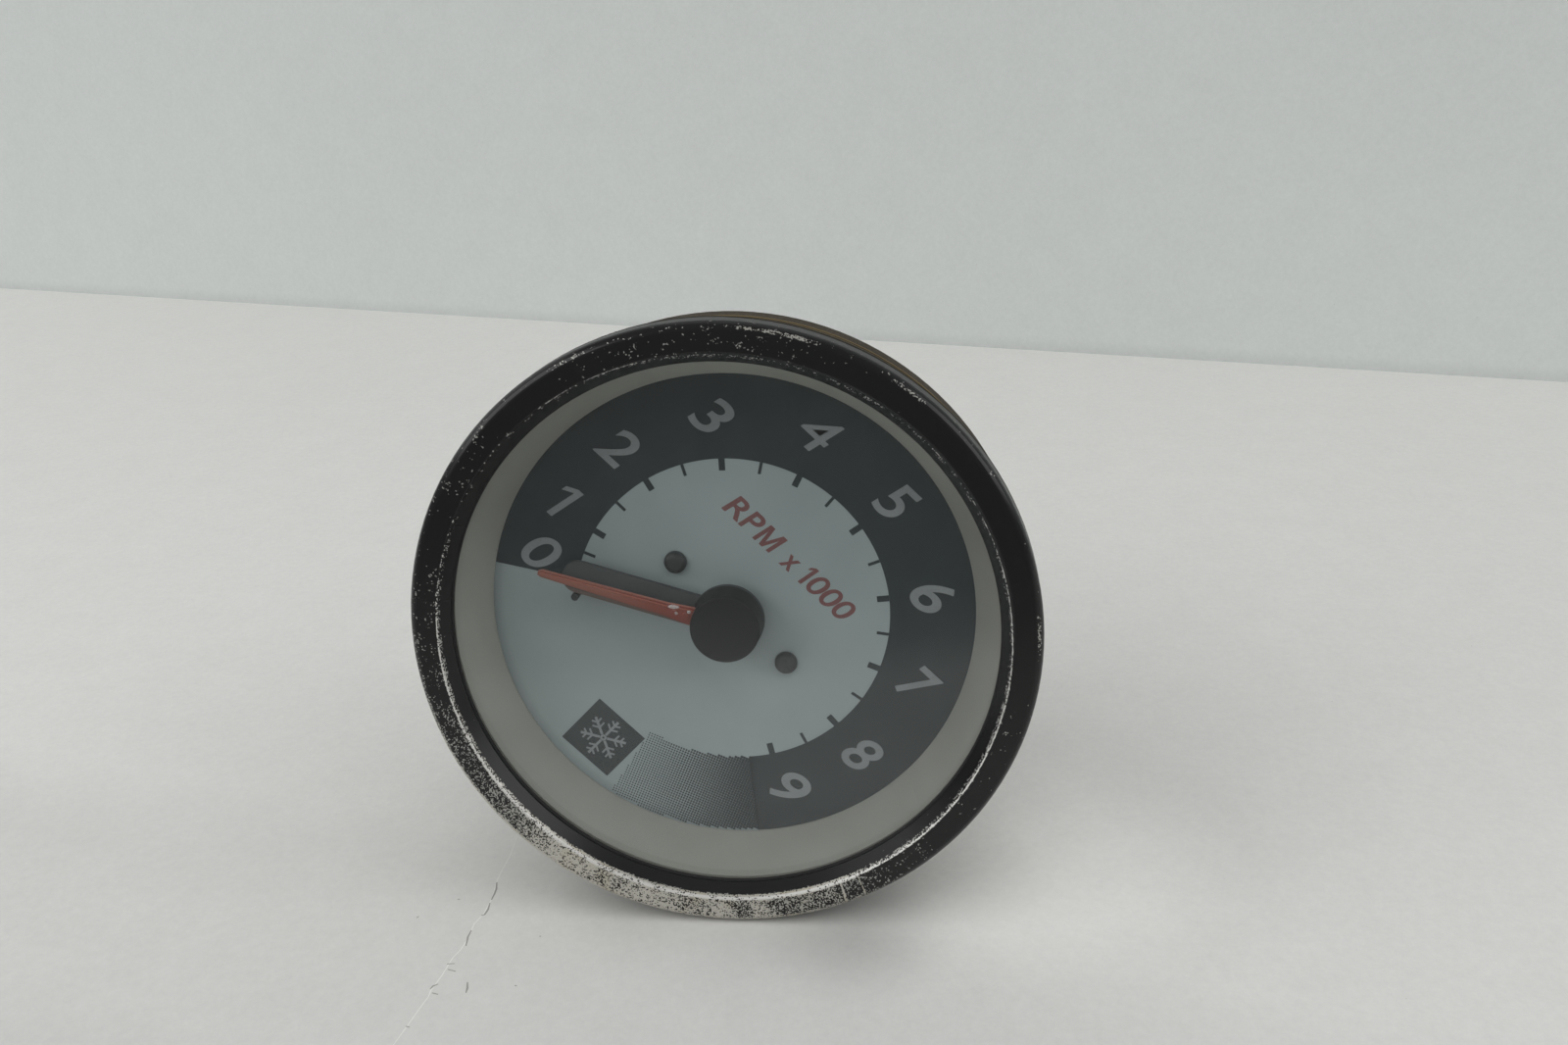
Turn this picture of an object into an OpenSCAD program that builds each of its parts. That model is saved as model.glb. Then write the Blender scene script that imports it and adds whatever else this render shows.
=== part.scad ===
// Electric tachometer for a snowmobile dash: a crimped steel case with a glass, a conical shade ring,
// a back-lit dial, a two-coil moving-magnet movement, a circuit board, a twist-lock lamp and blade terminals.
// Frame: millimetres. The gauge axis is Y. The dial faces -Y and its top is +Z.
// The origin is on the axis at the panel seat, the back face of the bezel.
// A height above the dial is measured towards the viewer, so it is a step along -Y.

/* [Panel fit] */
// Diameter of the case where it passes through the panel hole
bell_od = 85; // [76:0.1:94]
// How far the bezel stands out beyond the case, all round
bezel_overhang = 1.5; // [1.2:0.05:3]
// Depth of the bezel in front of the panel
bezel_depth = 5; // [4.4:0.1:7]
// Width of the bezel's front, from its rim to the window
bezel_w = 5.5; // [5:0.1:8]
// How far the window's slope falls inwards from the crest
lip_slope_w = 1.3; // [0.8:0.1:1.6]
// Radius of the bezel's outer edge
rim_r = 1.4; // [0.9:0.1:1.6]
// Thickness of the bezel's sheet
bezel_t = 0.7; // [0.5:0.05:0.8]

/* [Case] */
// Thickness of the case's sheet
case_t = 0.8; // [0.5:0.05:1]
// Depth of the wide front part of the case behind the panel seat
bell_depth = 14.8; // [13:0.1:18]
// How far the case steps in behind its wide part, all round
body_step = 6.5; // [5:0.1:9]
// Depth of the back of the case behind the panel seat
case_depth = 40.3; // [36:0.1:48]
// Radius of the bell's rear corner
bell_corner_r = 1.5; // [1:0.1:2]
// Radius of the case's back corner
back_corner_r = 1.8; // [1.2:0.1:2.5]
// Distance of the rolled line from the panel seat
groove_y = 9; // [6:0.5:10]
// Depth of the rolled line
groove_depth = 0.3; // [0.2:0.05:0.4]

/* [Glass and dial] */
// Thickness of the glass
lens_t = 1.6; // [1.2:0.1:2.2]
// Thickness of the rubber gasket in front of the glass
gasket_t = 0.4; // [0.3:0.05:0.6]
// Height of the gasket's rim on the case's flange
gasket_rim = 1; // [0.8:0.1:1.2]
// Room between the back of the glass and the dial's face
dial_room = 7.5; // [6.7:0.1:8.5]
// How much the shade ring narrows from the window to the dial, all round
shade_w = 3.4; // [2.5:0.1:5]
// Thickness of the dial
dial_t = 0.8; // [0.5:0.1:1]
// Wall of the shade ring
shade_t = 1; // [0.8:0.1:1.2]
// Diameter of the head of a peg that holds the dial
dial_peg_head_d = 3.3; // [2.9:0.1:4]

/* [Pointer] */
// Angle of the pointer at rest, counter-clockwise from the dial's right-hand side
rest_angle = 208; // [205:1:212]
// Length of the pointer from the axis
pointer_r = 27.6; // [24.8:0.1:31]
// Width of the blade beside the cap
blade_root_w = 2.6; // [2.4:0.1:3.2]
// Width of the blade past the flare at its root
blade_waist_w = 1.9; // [1.6:0.1:2.3]
// Width of the blade at its tip
blade_tip_w = 1; // [0.9:0.1:1.5]
// Thickness of the blade
blade_t = 0.9; // [0.7:0.1:1.1]
// Drop from the cap's front to the blade's front
blade_drop = 1; // [0.9:0.1:1.4]
// Diameter of the cap at its base
cap_d = 10.4; // [9.3:0.1:11.5]
// Height of the cap, from the carrier that it stands on to its front
cap_l = 3.8; // [3.4:0.1:4.2]
// Thickness of the carrier and its arm
carrier_t = 0.8; // [0.6:0.1:1]
// Width of the carrier's arm
arm_w = 4.7; // [4:0.1:5.2]
// Length of the carrier's arm from the axis
arm_r = 24.6; // [22:0.1:27]
// Diameter of the stop pin
stop_pin_d = 1.1; // [0.8:0.1:1.4]

/* [Movement] */
// Diameter of the spindle
spindle_d = 1.5; // [1.2:0.1:1.8]
// Diameter of the rotor magnet
magnet_d = 10.8; // [9:0.1:12]
// Length of the rotor magnet
magnet_l = 4.8; // [4:0.1:5.4]
// Thickness of each winding
coil_t = 1; // [0.7:0.05:1.2]
// Width of each of a winding's two bands
coil_w = 3; // [2:0.1:3.4]
// Diameter of the two posts that carry the dial
post_d = 4.4; // [3.6:0.1:5]
// Thickness of the magnetic shield
shield_t = 0.6; // [0.4:0.05:1]

/* [Board] */
// Thickness of the circuit board
board_t = 1.6; // [1:0.1:2]
// Gap between the movement's rear plate and the board
board_gap = 1.8; // [1.2:0.1:2.5]
// Gap between the board's edge and the case's wall
board_edge_gap = 2.2; // [1:0.1:4]

/* [Lamp] */
// Diameter of the bulb's glass
bulb_d = 10; // [8:0.1:11]
// Length of the bulb's glass, from its foot to its tip
bulb_l = 15.5; // [13:0.1:17]
// Wall of the holder's barrel
barrel_wall = 1.2; // [0.9:0.1:1.6]
// How far the barrel reaches inside the back
barrel_l = 9; // [8:0.1:10]
// How far the holder's flange stands out round the barrel
holder_flange_w = 2.8; // [2.4:0.1:4]
// Reach of each locking lug beyond the barrel
lug_reach = 1.8; // [1.2:0.1:2]
// Turn from locked to free
lock_turn = 60; // [50:1:75]

/* [Rear fittings] */
// Distance between the two mounting studs
stud_pitch = 46; // [41:0.5:51]
// Diameter of a mounting stud
stud_d = 5; // [4:0.1:6]
// How far the studs stand out of the back
stud_l = 14; // [10:0.5:20]
// Distance of the terminals from the case's side
terminal_inset = 15.5; // [14:0.1:18]
// Distance between neighbouring blade terminals
terminal_pitch = 10; // [9:0.1:11]
// Width of a blade terminal
terminal_w = 6.3; // [4.8:0.1:7]
// Thickness of a blade terminal
terminal_t = 0.8; // [0.5:0.1:1]
// How far the blades stand out of their insulator
terminal_l = 8.5; // [7:0.5:12]

/* [Hidden] */
$fn = 96;

// Clearances
fit_gap = 0.1;          // parts that slip into each other
slip_gap = 0.3;         // wide parts that drop into the case
press_gap = 0.02;       // screws, pins and bushes pressed or screwed home
bearing_gap = 0.02;     // spindle in a bearing
turn_gap = 0.3;         // parts of the turning lamp holder

// Bezel and its clinched hem
bell_r = bell_od / 2;
bezel_r = bell_r + bezel_overhang;
window_r = bezel_r - bezel_w;
neck_step = 0.7;                                  // the case is drawn in under the hem
neck_r = bell_r - neck_step;
hem_r = bell_r + 0.05;
hem_corner_r = 0.5;
crest_edge_r = 0.4;                               // rounding of the crest
lip_land = 0.4;                                   // straight end of the lip, on the gasket
bezel_in_r = bezel_r - bezel_t;
crest_y = -bezel_depth;
crest_r = window_r + lip_slope_w;
rim_y = crest_y + rim_r + 0.1;                    // centre of the rim's rounding, a little behind the crest
flange_r = bezel_in_r - fit_gap;                  // the case's turned-out front flange
flange_y = -bezel_t - case_t;                     // front of that flange
gasket_y = flange_y - gasket_rim;
gasket_show = 0.2;                                // how far the gasket shows inside the window
lens_y = gasket_y + gasket_t;
lens_back_y = lens_y + lens_t;
mouth_r = neck_r - case_t;                        // narrowest inside radius at the case's mouth
bell_in_r = bell_r - case_t;
lens_r = mouth_r - slip_gap;
lens_edge = 0.25;                                 // ground edge of the glass

// Dial stack
dial_y = lens_back_y + dial_room;                 // depth of the dial's face behind the panel seat
dial_open_r = window_r - shade_w;
dial_r = bell_in_r - slip_gap;
dial_back_y = dial_y + dial_t;
shade_foot_w = 1.2;
shade_foot_t = 0.7;
shade_rim_l = 2.4;
shade_rim_t = 0.8;
peg_r = 1.1;                                      // shank of a dial peg or a small screw
peg_l = 4.5;                                      // reach of a dial peg into its post
dial_peg_head_h = 1.1;
dial_peg_dome_r = 0.8;

// Pointer, in heights above the dial
spindle_r = spindle_d / 2;
cap_gap = 0.3;                                    // air between the cap and the glass
cap_h = dial_room - cap_gap;
carrier_h = cap_h - cap_l;
blade_h = cap_h - blade_drop;
hub_wall = 0.85;
hub_r = spindle_r + hub_wall;
hub_h = cap_h - 1;
hub_foot = 1.2;                                   // how far the hub reaches behind the carrier's disc
center_hole_r = hub_r + 0.6;
pedestal_r = hub_r + 1.6;
blade_back_h = blade_h - blade_t;
blade_bevel = 0.3;
blade_flare_l = 3.5;                              // the root's flare, from the cap outwards
cap_r = cap_d / 2;
cap_wall = 0.7;
cap_front_t = 0.8;
cap_draft = 0.25;
cap_edge_r = 0.3;
notch_gap = 0.3;                                  // air round the blade where it leaves the cap
stake_r = 0.45;                                   // staked pegs that hold the blade, beside the cap
stake_steps = [0.7, 2.3];
weight_t = 1.8;
stop_gap = 0.1;                                   // play between the resting arm and the pin
stop_pin_r = arm_r - arm_w / 2;
stop_pin_h = carrier_h + 0.2;
stop_contact = arm_w / 2 + stop_pin_d / 2 + stop_gap;
stop_angle = rest_angle + asin(stop_contact / stop_pin_r);

// Movement
drum_wall = 1;
drum_in_r = magnet_d / 2 + 1;
drum_r = drum_in_r + drum_wall;
drum_half_l = magnet_l / 2 + 0.4 + drum_wall;
bearing_r = spindle_r + hub_wall;
bearing_l = 2;
neck_out_r = bearing_r + drum_wall;
coil_gap = 0.1;
inner_half_y = drum_half_l + coil_gap;
outer_half_y = inner_half_y + coil_t + coil_gap;
coil_half_side = drum_r + coil_gap;
coil_in_x = neck_out_r + coil_gap;
movement_front_y = dial_back_y + 0.5;
drum_y = movement_front_y + slip_gap + coil_t + outer_half_y;
drum_front_y = drum_y - drum_half_l;
drum_back_y = drum_y + drum_half_l;
plate_y = drum_y + outer_half_y + coil_t + 0.4;   // rear plate of the bobbin
plate_t = 1.2;
plate_back_y = plate_y + plate_t;
rear_bearing_y = drum_back_y + 1;
post_r = post_d / 2;
post_x = coil_half_side + coil_t + 2 * coil_gap + post_r;   // posts carry the dial and stand on the board
plate_r = post_x + post_r + slip_gap;
shield_r = plate_r + shield_t;
pin_r = 0.4;
pin_circle_r = post_x - 1.3;
pin_angles = [45 : 90 : 315];

// Room inside the case
body_r = bell_r - body_step;
body_in_r = body_r - case_t;
back_in_y = case_depth - case_t;
shoulder_y = bell_depth - case_t;                 // inside of the bell's rear shoulder

// Board
board_y = plate_back_y + board_gap;               // depth of its front behind the panel seat
board_r = body_in_r - board_edge_gap;
board_back_y = board_y + board_t;
board_screw_angles = [30, 150, 270];
board_screw_inset = 4;
board_screw_r = board_r - board_screw_inset;
board_screw_head_r = 2.4;
board_screw_head_t = 1.5;
screw_slot_w = 0.6;
screw_slot_l = 3.4;
solder_r = 1.4;
solder_t = 0.6;

// Parts on the board
leg_pitch = 2.54;
leg_count = 8;
chip_w = leg_count * leg_pitch - 0.7;
chip_t = 3.4;
chip_stand = 0.8;
chip_row_z = 3.9;                                 // legs from the middle of the chip
chip_shoulder_z = chip_row_z - 0.3;
can_r = 4;
can_l = 9;
can_gap = 1.2;
can_z = -1;
big_part_inset = 13;                              // capacitors and resistors, from the board's edge
can_x = board_r - big_part_inset;
resistor_count = 5;
resistor_pitch = 3.6;
resistor_x = board_r - big_part_inset;
resistor_z = 9;
resistor_r = 1.1;
resistor_l = 6;
resistor_leg_x = 4;
wire_w = 0.5;
trimmer_inset = 13.2;
trimmer_at = (board_r - trimmer_inset) / sqrt(2);
trimmer_w = 7;
trimmer_t = 3.6;
trimmer_rotor_r = 2.2;
trimmer_rotor_t = 0.8;

// Light box
box_wall = 1.2;
box_cup_r = body_in_r - 2 * slip_gap;
box_cup_in_r = box_cup_r - box_wall;
box_boss_l = 4;
box_floor_y = board_y - box_boss_l;
box_floor_r = 4;                                  // rounding of the reflector round the lamp
box_corner = 0.8;
collar_l = 3;                                     // collar round the movement
boss_r = 3;

// Lamp, midway between the movement's shield and the light box's wall
lamp_z = (shield_r + box_cup_in_r) / 2;
bulb_r = bulb_d / 2;
lamp_hole_r = bulb_r + 1.5;
barrel_r = bulb_r + barrel_wall;
holder_y = back_in_y - barrel_l;
holder_flange_r = barrel_r + holder_flange_w;
seal_t = 1;
seal_y = case_depth + fit_gap;
holder_flange_y = seal_y + seal_t;
holder_flange_t = 2;
holder_back_y = holder_flange_y + holder_flange_t;
grip_l = 5;
grip_w = 3;
lug_t = 1.5;
lug_y = back_in_y - fit_gap - lug_t;
lug_width_deg = 34;
lug_play_deg = 6;
wedge_w = bulb_d - 1.4;
wedge_t = 2.4;
wedge_y = holder_y + 1;
wedge_l = 7;
contact_w = 2.8;
contact_t = 0.5;
contact_x = wedge_w / 2 - contact_w / 2 - 0.3;
contact_z = wedge_t / 2 + contact_t;
contact_l = 5;                                    // how far the contacts stand out of the grip

// Rear fittings
stud_x = stud_pitch / 2;
stud_r = stud_d / 2;
stud_neck_r = stud_r + 0.6;                       // knurled neck, pressed into the back
stud_head_r = stud_r + 2;
stud_head_t = 1.2;
terminal_z = body_r - terminal_inset;
insulator_edge = 1.5;
insulator_w = 2 * (terminal_pitch + insulator_edge) + terminal_w;
insulator_h = 7;
insulator_lip = 2;
insulator_t = 2.5;
insulator_in_y = back_in_y - 1.5;                 // its front, inside the back
tail_l = 6;
tail_w = 2.4;
blade_tail_y = insulator_in_y - tail_l;
lead_r = 0.6;

// Points along an arc in a profile, counter-clockwise from a0 to a1
function arc(cx, cy, r, a0, a1, steps = 8) =
    [for (i = [0 : steps]) let (a = a0 + (a1 - a0) * i / steps) [cx + r * cos(a), cy + r * sin(a)]];

// A profile given as [radius, depth], turned about the gauge axis
module turned(points) rotate([-90, 0, 0]) rotate_extrude($fn = 180) polygon(points);

// A round bar along the gauge axis, from depth y0 to y1
module bar(r, y0, y1, x = 0, z = 0) translate([x, y0, z]) rotate([-90, 0, 0]) cylinder(r = r, h = y1 - y0);

// A ring along the gauge axis
module tube(r_out, r_in, y0, y1, x = 0, z = 0) {
    difference() {
        bar(r_out, y0, y1, x, z);
        bar(r_in, y0 - 1, y1 + 1, x, z);
    }
}

// A block centred on x and z, from depth y0 to y1
module block(w, h, y0, y1, x = 0, z = 0) translate([x - w / 2, y0, z - h / 2]) cube([w, y1 - y0, h]);

// A flat outline drawn in dial coordinates [right, up], as a plate from depth y0 to y1
module plate(y0, y1) translate([0, y1, 0]) rotate([90, 0, 0]) linear_extrude(y1 - y0) children();

// Copies its children about the gauge axis, at angles counted from the dial's right-hand side
module around(angles) for (a = angles) rotate([0, -a, 0]) children();

// A flat outline in the frame of the resting pointer, whose blade lies along the outline's first axis
module pointer_plate(h0, h1) plate(dial_y - h1, dial_y - h0) rotate(rest_angle) children();

// A rounded rectangle with true arcs
module rounded_rect(w, h, r) {
    square([w - 2 * r, h], center = true);
    square([w, h - 2 * r], center = true);
    for (x = [-1, 1], y = [-1, 1]) translate([x * (w / 2 - r), y * (h / 2 - r)]) circle(r, $fn = 48);
}

// A sector of a ring in the plane, centred on angle 0
module ring_sector(r_out, r_in, width_deg) {
    reach = r_out * 1.5;
    intersection() {
        difference() {
            circle(r_out);
            circle(r_in);
        }
        polygon([
            [0, 0],
            [reach * cos(width_deg / 2), -reach * sin(width_deg / 2)],
            [reach, 0],
            [reach * cos(width_deg / 2), reach * sin(width_deg / 2)]
        ]);
    }
}

// Front ring, drawn from sheet: window slope, flat face, turned rim, skirt and the hem that clinches the case
module bezel() {
    color([0.13, 0.13, 0.13]) turned(concat(
        [[window_r, gasket_y], [window_r, gasket_y - lip_land]],
        arc(crest_r + crest_edge_r, crest_y + crest_edge_r, crest_edge_r, 200, 270, 5),
        arc(bezel_r - rim_r, rim_y, rim_r, -80, 0, 8),
        arc(bezel_r - hem_corner_r, -hem_corner_r, hem_corner_r, 0, 90, 5),
        [[hem_r, 0], [hem_r, -bezel_t], [bezel_in_r, -bezel_t]],
        arc(bezel_r - rim_r, rim_y, rim_r - bezel_t, 0, -80, 6),
        [[crest_r + bezel_t, crest_y + bezel_t]],
        [[window_r + bezel_t, gasket_y - lip_land], [window_r + bezel_t, gasket_y]]
    ));
}

// Rubber ring between the bezel's lip, the glass and the case's flange, with a rim round the glass
module bezel_gasket() {
    edge_y = gasket_y + gasket_t / 3;
    color([0.07, 0.07, 0.07]) turned([
        [window_r - gasket_show, lens_y], [window_r - gasket_show, edge_y], [window_r, gasket_y],
        [flange_r, gasket_y], [flange_r, flange_y],
        [lens_r + fit_gap, flange_y], [lens_r + fit_gap, lens_y]
    ]);
}

// Flat glass with ground edges
module lens() {
    color([0.85, 0.9, 0.9, 0.3]) turned([
        [0, lens_y], [lens_r - lens_edge, lens_y], [lens_r, lens_y + lens_edge],
        [lens_r, lens_back_y - lens_edge], [lens_r - lens_edge, lens_back_y], [0, lens_back_y]
    ]);
}

// Grey cone between the glass and the dial, with a flange under the glass and a foot on the dial
module shade_ring() {
    foot_r = dial_open_r + shade_t + shade_foot_w;
    rim_in_r = max(lens_r - shade_rim_t, window_r + shade_t + fit_gap);
    color([0.5, 0.5, 0.47]) turned([
        [window_r, lens_back_y], [dial_open_r, dial_y - shade_foot_t / 2], [dial_open_r, dial_y],
        [foot_r, dial_y], [foot_r, dial_y - shade_foot_t], [foot_r - shade_foot_t, dial_y - shade_foot_t],
        [window_r + shade_t, lens_back_y + shade_t], [rim_in_r, lens_back_y + shade_t],
        [rim_in_r, lens_back_y + shade_rim_l], [lens_r, lens_back_y + shade_rim_l], [lens_r, lens_back_y]
    ]);
}

// Dial with holes for the spindle, its two pegs and the stop pin
module dial_plate() {
    color([0.86, 0.9, 0.9]) difference() {
        tube(dial_r, center_hole_r, dial_y, dial_back_y);
        for (side = [-1, 1]) bar(peg_r + fit_gap, dial_y - 1, dial_back_y + 1, side * post_x);
        around([stop_angle]) bar(stop_pin_d / 2 + press_gap, dial_y - 1, dial_back_y + 1, stop_pin_r);
    }
}

// Two small black domed pegs that hold the dial to the movement's posts
module dial_pegs() {
    head_r = dial_peg_head_d / 2;
    top_y = dial_y - dial_peg_head_h;
    color([0.1, 0.1, 0.1]) for (side = [-1, 1]) translate([side * post_x, 0, 0]) {
        turned(concat(
            [[0, top_y]],
            arc(head_r - dial_peg_dome_r, top_y + dial_peg_dome_r, dial_peg_dome_r, -90, 0, 6),
            [[head_r, dial_y], [peg_r, dial_y], [peg_r, dial_back_y + peg_l]],
            [[0, dial_back_y + peg_l]]
        ));
    }
}

// Pin in the dial that the pointer's arm rests against
module stop_pin() {
    color([0.25, 0.25, 0.25]) around([stop_angle]) {
        bar(stop_pin_d / 2, dial_y - stop_pin_h, dial_back_y, stop_pin_r);
    }
}

// Tapered red blade, flared at the cap, with a bevelled front and the ring that seats it on the carrier.
// Two stakes beside the cap hold it.
module pointer_blade() {
    root_r = hub_r + 0.4;
    tip_cut = 0.5;
    module outline(inset) {
        tip_w = blade_tip_w - 2 * inset;
        edge = [
            [root_r, blade_root_w / 2 - inset], [cap_r, blade_root_w / 2 - inset],
            [cap_r + blade_flare_l, blade_waist_w / 2 - inset],
            [pointer_r - tip_cut - inset, tip_w / 2], [pointer_r - inset, tip_w / 4]
        ];
        polygon(concat(edge, [for (i = [len(edge) - 1 : -1 : 0]) [edge[i].x, -edge[i].y]]));
    }
    color([0.85, 0.2, 0.12]) difference() {
        union() {
            pointer_plate(blade_back_h, blade_h - blade_bevel) outline(0);
            pointer_plate(blade_h - blade_bevel, blade_h) outline(blade_bevel);
            pointer_plate(blade_back_h, blade_h - blade_bevel) circle(pedestal_r);
            for (step = stake_steps) {
                pointer_plate(blade_h, blade_h + stake_r / 2) translate([cap_r + step, 0]) circle(stake_r);
            }
        }
        bar(hub_r + fit_gap / 2, dial_y - blade_h - 1, dial_y - blade_back_h + 1);
    }
}

// Black carrier: hub on the spindle, disc that the cap stands on, and the arm that meets the stop pin
module pointer_carrier() {
    back_h = carrier_h - carrier_t;
    color([0.12, 0.12, 0.12]) difference() {
        union() {
            pointer_plate(back_h, carrier_h) {
                circle(cap_r);
                translate([0, -arm_w / 2]) square([arm_r - arm_w / 2, arm_w]);
                translate([arm_r - arm_w / 2, 0]) circle(arm_w / 2);
            }
            pointer_plate(carrier_h, blade_back_h) circle(pedestal_r);
            pointer_plate(back_h - hub_foot, hub_h) circle(hub_r);
        }
        bar(spindle_r + press_gap, dial_y - hub_h - 1, dial_y);
    }
}

// Moulded black cap with a drafted wall, open at the back, notched for the blade
module pointer_cap() {
    front_r = cap_r - cap_draft;
    front_y = dial_y - cap_h;
    back_y = dial_y - carrier_h;
    notch_w = blade_root_w + 2 * notch_gap;
    color([0.1, 0.1, 0.1]) difference() {
        turned(concat(
            [[0, front_y]],
            arc(front_r - cap_edge_r, front_y + cap_edge_r, cap_edge_r, -90, 0, 4),
            [[cap_r, back_y], [cap_r - cap_wall, back_y]],
            [[front_r - cap_wall, front_y + cap_front_t], [0, front_y + cap_front_t]]
        ));
        pointer_plate(blade_back_h - notch_gap, blade_h + notch_gap / 2) {
            translate([0, -notch_w / 2]) square([cap_r + 1, notch_w]);
        }
    }
}

// Balance weight on the carrier's tail, hidden under the cap
module pointer_counterweight() {
    color([0.7, 0.6, 0.35]) pointer_plate(carrier_h, carrier_h + weight_t) rotate(180) {
        ring_sector(cap_r - cap_wall - cap_draft, pedestal_r + fit_gap, 150);
    }
}

// Steel spindle from the pointer's hub through both bearings
module spindle() {
    color([0.75, 0.75, 0.77]) bar(spindle_r, dial_y - hub_h + 0.2, rear_bearing_y + bearing_l + 0.2);
}

// Disc magnet on the spindle, inside the drum
module rotor_magnet() {
    half_l = magnet_l / 2;
    color([0.25, 0.25, 0.27]) tube(magnet_d / 2, spindle_r + press_gap, drum_y - half_l, drum_y + half_l);
}

// Front half of the drum with the neck that holds the front bearing
module bobbin_front() {
    color([0.8, 0.78, 0.68]) difference() {
        union() {
            bar(drum_r, drum_front_y, drum_y);
            bar(neck_out_r, movement_front_y, drum_front_y);
        }
        bar(drum_in_r, drum_front_y + drum_wall, drum_y + 1);
        bar(bearing_r, movement_front_y - 1, drum_front_y + drum_wall + 1);
    }
}

// Rear half of the drum, its neck, the rear plate and the two posts
module bobbin_rear() {
    color([0.8, 0.78, 0.68]) difference() {
        union() {
            bar(drum_r, drum_y, drum_back_y);
            bar(neck_out_r, drum_back_y, plate_back_y);
            bar(plate_r, plate_y, plate_back_y);
            for (side = [-1, 1]) bar(post_r, dial_back_y, board_y, side * post_x);
        }
        bar(drum_in_r, drum_y - 1, drum_back_y - drum_wall);
        bar(bearing_r, drum_back_y - drum_wall - 1, plate_back_y + 1);
        for (side = [-1, 1]) {
            bar(peg_r + press_gap, dial_back_y - 1, dial_back_y + peg_l + 0.5, side * post_x);
        }
        around(pin_angles) bar(pin_r + press_gap, plate_y - 1, plate_back_y + 1, pin_circle_r);
    }
}

// One winding: two bands side by side, with the necks between them
module winding(half_y, half_side) {
    for (side = [-1, 1]) translate([side * (coil_in_x + coil_w / 2), drum_y, 0]) rotate([0, 90, 0]) {
        linear_extrude(coil_w, center = true) difference() {
            rounded_rect(2 * (half_side + coil_t), 2 * (half_y + coil_t), 1.4);
            rounded_rect(2 * half_side, 2 * half_y, 0.4);
        }
    }
}

// Winding next to the drum
module coil_inner() {
    color([0.72, 0.4, 0.2]) rotate([0, 90, 0]) winding(inner_half_y, coil_half_side);
}

// Winding across it, outside the first
module coil_outer() {
    color([0.78, 0.46, 0.24]) winding(outer_half_y, coil_half_side);
}

// Bushes for the spindle, each pressed in a neck
module bush(y0) {
    color([0.8, 0.65, 0.3]) tube(bearing_r, spindle_r + bearing_gap, y0, y0 + bearing_l);
}

module front_bearing() bush(movement_front_y);

module rear_bearing() bush(rear_bearing_y);

// Soft-iron band round the movement, on the rear plate's rim
module shield_band() {
    color([0.6, 0.6, 0.62]) tube(shield_r, plate_r, movement_front_y, plate_back_y);
}

// Four winding ends, soldered in the board
module coil_pins() {
    color([0.8, 0.8, 0.78]) around(pin_angles) bar(pin_r, plate_y, board_back_y + 0.8, pin_circle_r);
}

// White moulding that carries the dial, reflects the lamp's light and holds the board
module light_box() {
    lip_r = dial_r - box_wall;
    well_r = shield_r + 2 * slip_gap;
    well_out_r = well_r + box_wall;
    floor_back_y = box_floor_y + box_wall;
    collar_y = box_floor_y - collar_l;
    color([0.93, 0.93, 0.9]) difference() {
        union() {
            turned(concat(
                [[dial_r, dial_back_y], [dial_r, shoulder_y - box_corner], [dial_r - box_corner, shoulder_y]],
                [[box_cup_r, shoulder_y], [box_cup_r, box_floor_y], [box_cup_in_r, floor_back_y]],
                [[well_r, floor_back_y], [well_r, collar_y], [well_out_r, collar_y]],
                [[well_out_r, box_floor_y]],
                arc(box_cup_in_r - box_floor_r, box_floor_y - box_floor_r, box_floor_r, 90, 0, 8),
                [[box_cup_in_r, shoulder_y - box_wall], [lip_r, shoulder_y - box_wall], [lip_r, dial_back_y]]
            ));
            around(board_screw_angles) bar(boss_r, box_floor_y, board_y, board_screw_r);
        }
        bar(lamp_hole_r, box_floor_y - box_floor_r - 1, board_y, 0, lamp_z);
        around(board_screw_angles) {
            bar(peg_r + press_gap, box_floor_y + slip_gap, board_y + 1, board_screw_r);
        }
    }
}

// Round circuit board, cut out for the lamp
module circuit_board() {
    color([0.1, 0.35, 0.2]) difference() {
        bar(board_r, board_y, board_back_y);
        bar(lamp_hole_r, board_y - 1, board_back_y + 1, 0, lamp_z);
        around(board_screw_angles) bar(peg_r + fit_gap, board_y - 1, board_back_y + 1, board_screw_r);
        around(pin_angles) bar(pin_r + press_gap, board_y - 1, board_back_y + 1, pin_circle_r);
        for (i = [-1 : 1]) {
            bar(lead_r + press_gap, board_y - 1, board_back_y + 1, i * terminal_pitch, -terminal_z);
        }
    }
}

// Three screws that hold the board to the light box
module board_screws() {
    top_y = board_back_y + board_screw_head_t;
    color([0.75, 0.75, 0.72]) around(board_screw_angles) translate([board_screw_r, 0, 0]) difference() {
        union() {
            bar(board_screw_head_r, board_back_y, top_y);
            bar(peg_r, box_floor_y + 2 * slip_gap, board_back_y);
        }
        block(screw_slot_l, screw_slot_w, top_y - screw_slot_w, top_y + 1);
        block(screw_slot_w, screw_slot_l, top_y - screw_slot_w, top_y + 1);
    }
}

// Sixteen-leg driver chip on the back of the board
module driver_chip() {
    body_y = board_back_y + chip_stand;
    leg_y = body_y + chip_t / 2;                  // legs leave the body at half its height
    color([0.12, 0.12, 0.13]) {
        difference() {
            block(chip_w, 2 * (chip_shoulder_z - wire_w + 0.1), body_y, body_y + chip_t);
            bar(wire_w * 1.5, body_y + chip_t - wire_w, body_y + chip_t + 1, -chip_w / 2);
        }
        for (i = [0 : leg_count - 1], side = [-1, 1]) {
            translate([(i - (leg_count - 1) / 2) * leg_pitch, 0, 0]) {
                block(wire_w, wire_w * 0.6, board_back_y, leg_y, 0, side * chip_row_z);
                block(2 * wire_w, 2 * wire_w, leg_y - wire_w, leg_y, 0, side * chip_shoulder_z);
            }
        }
    }
}

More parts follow.
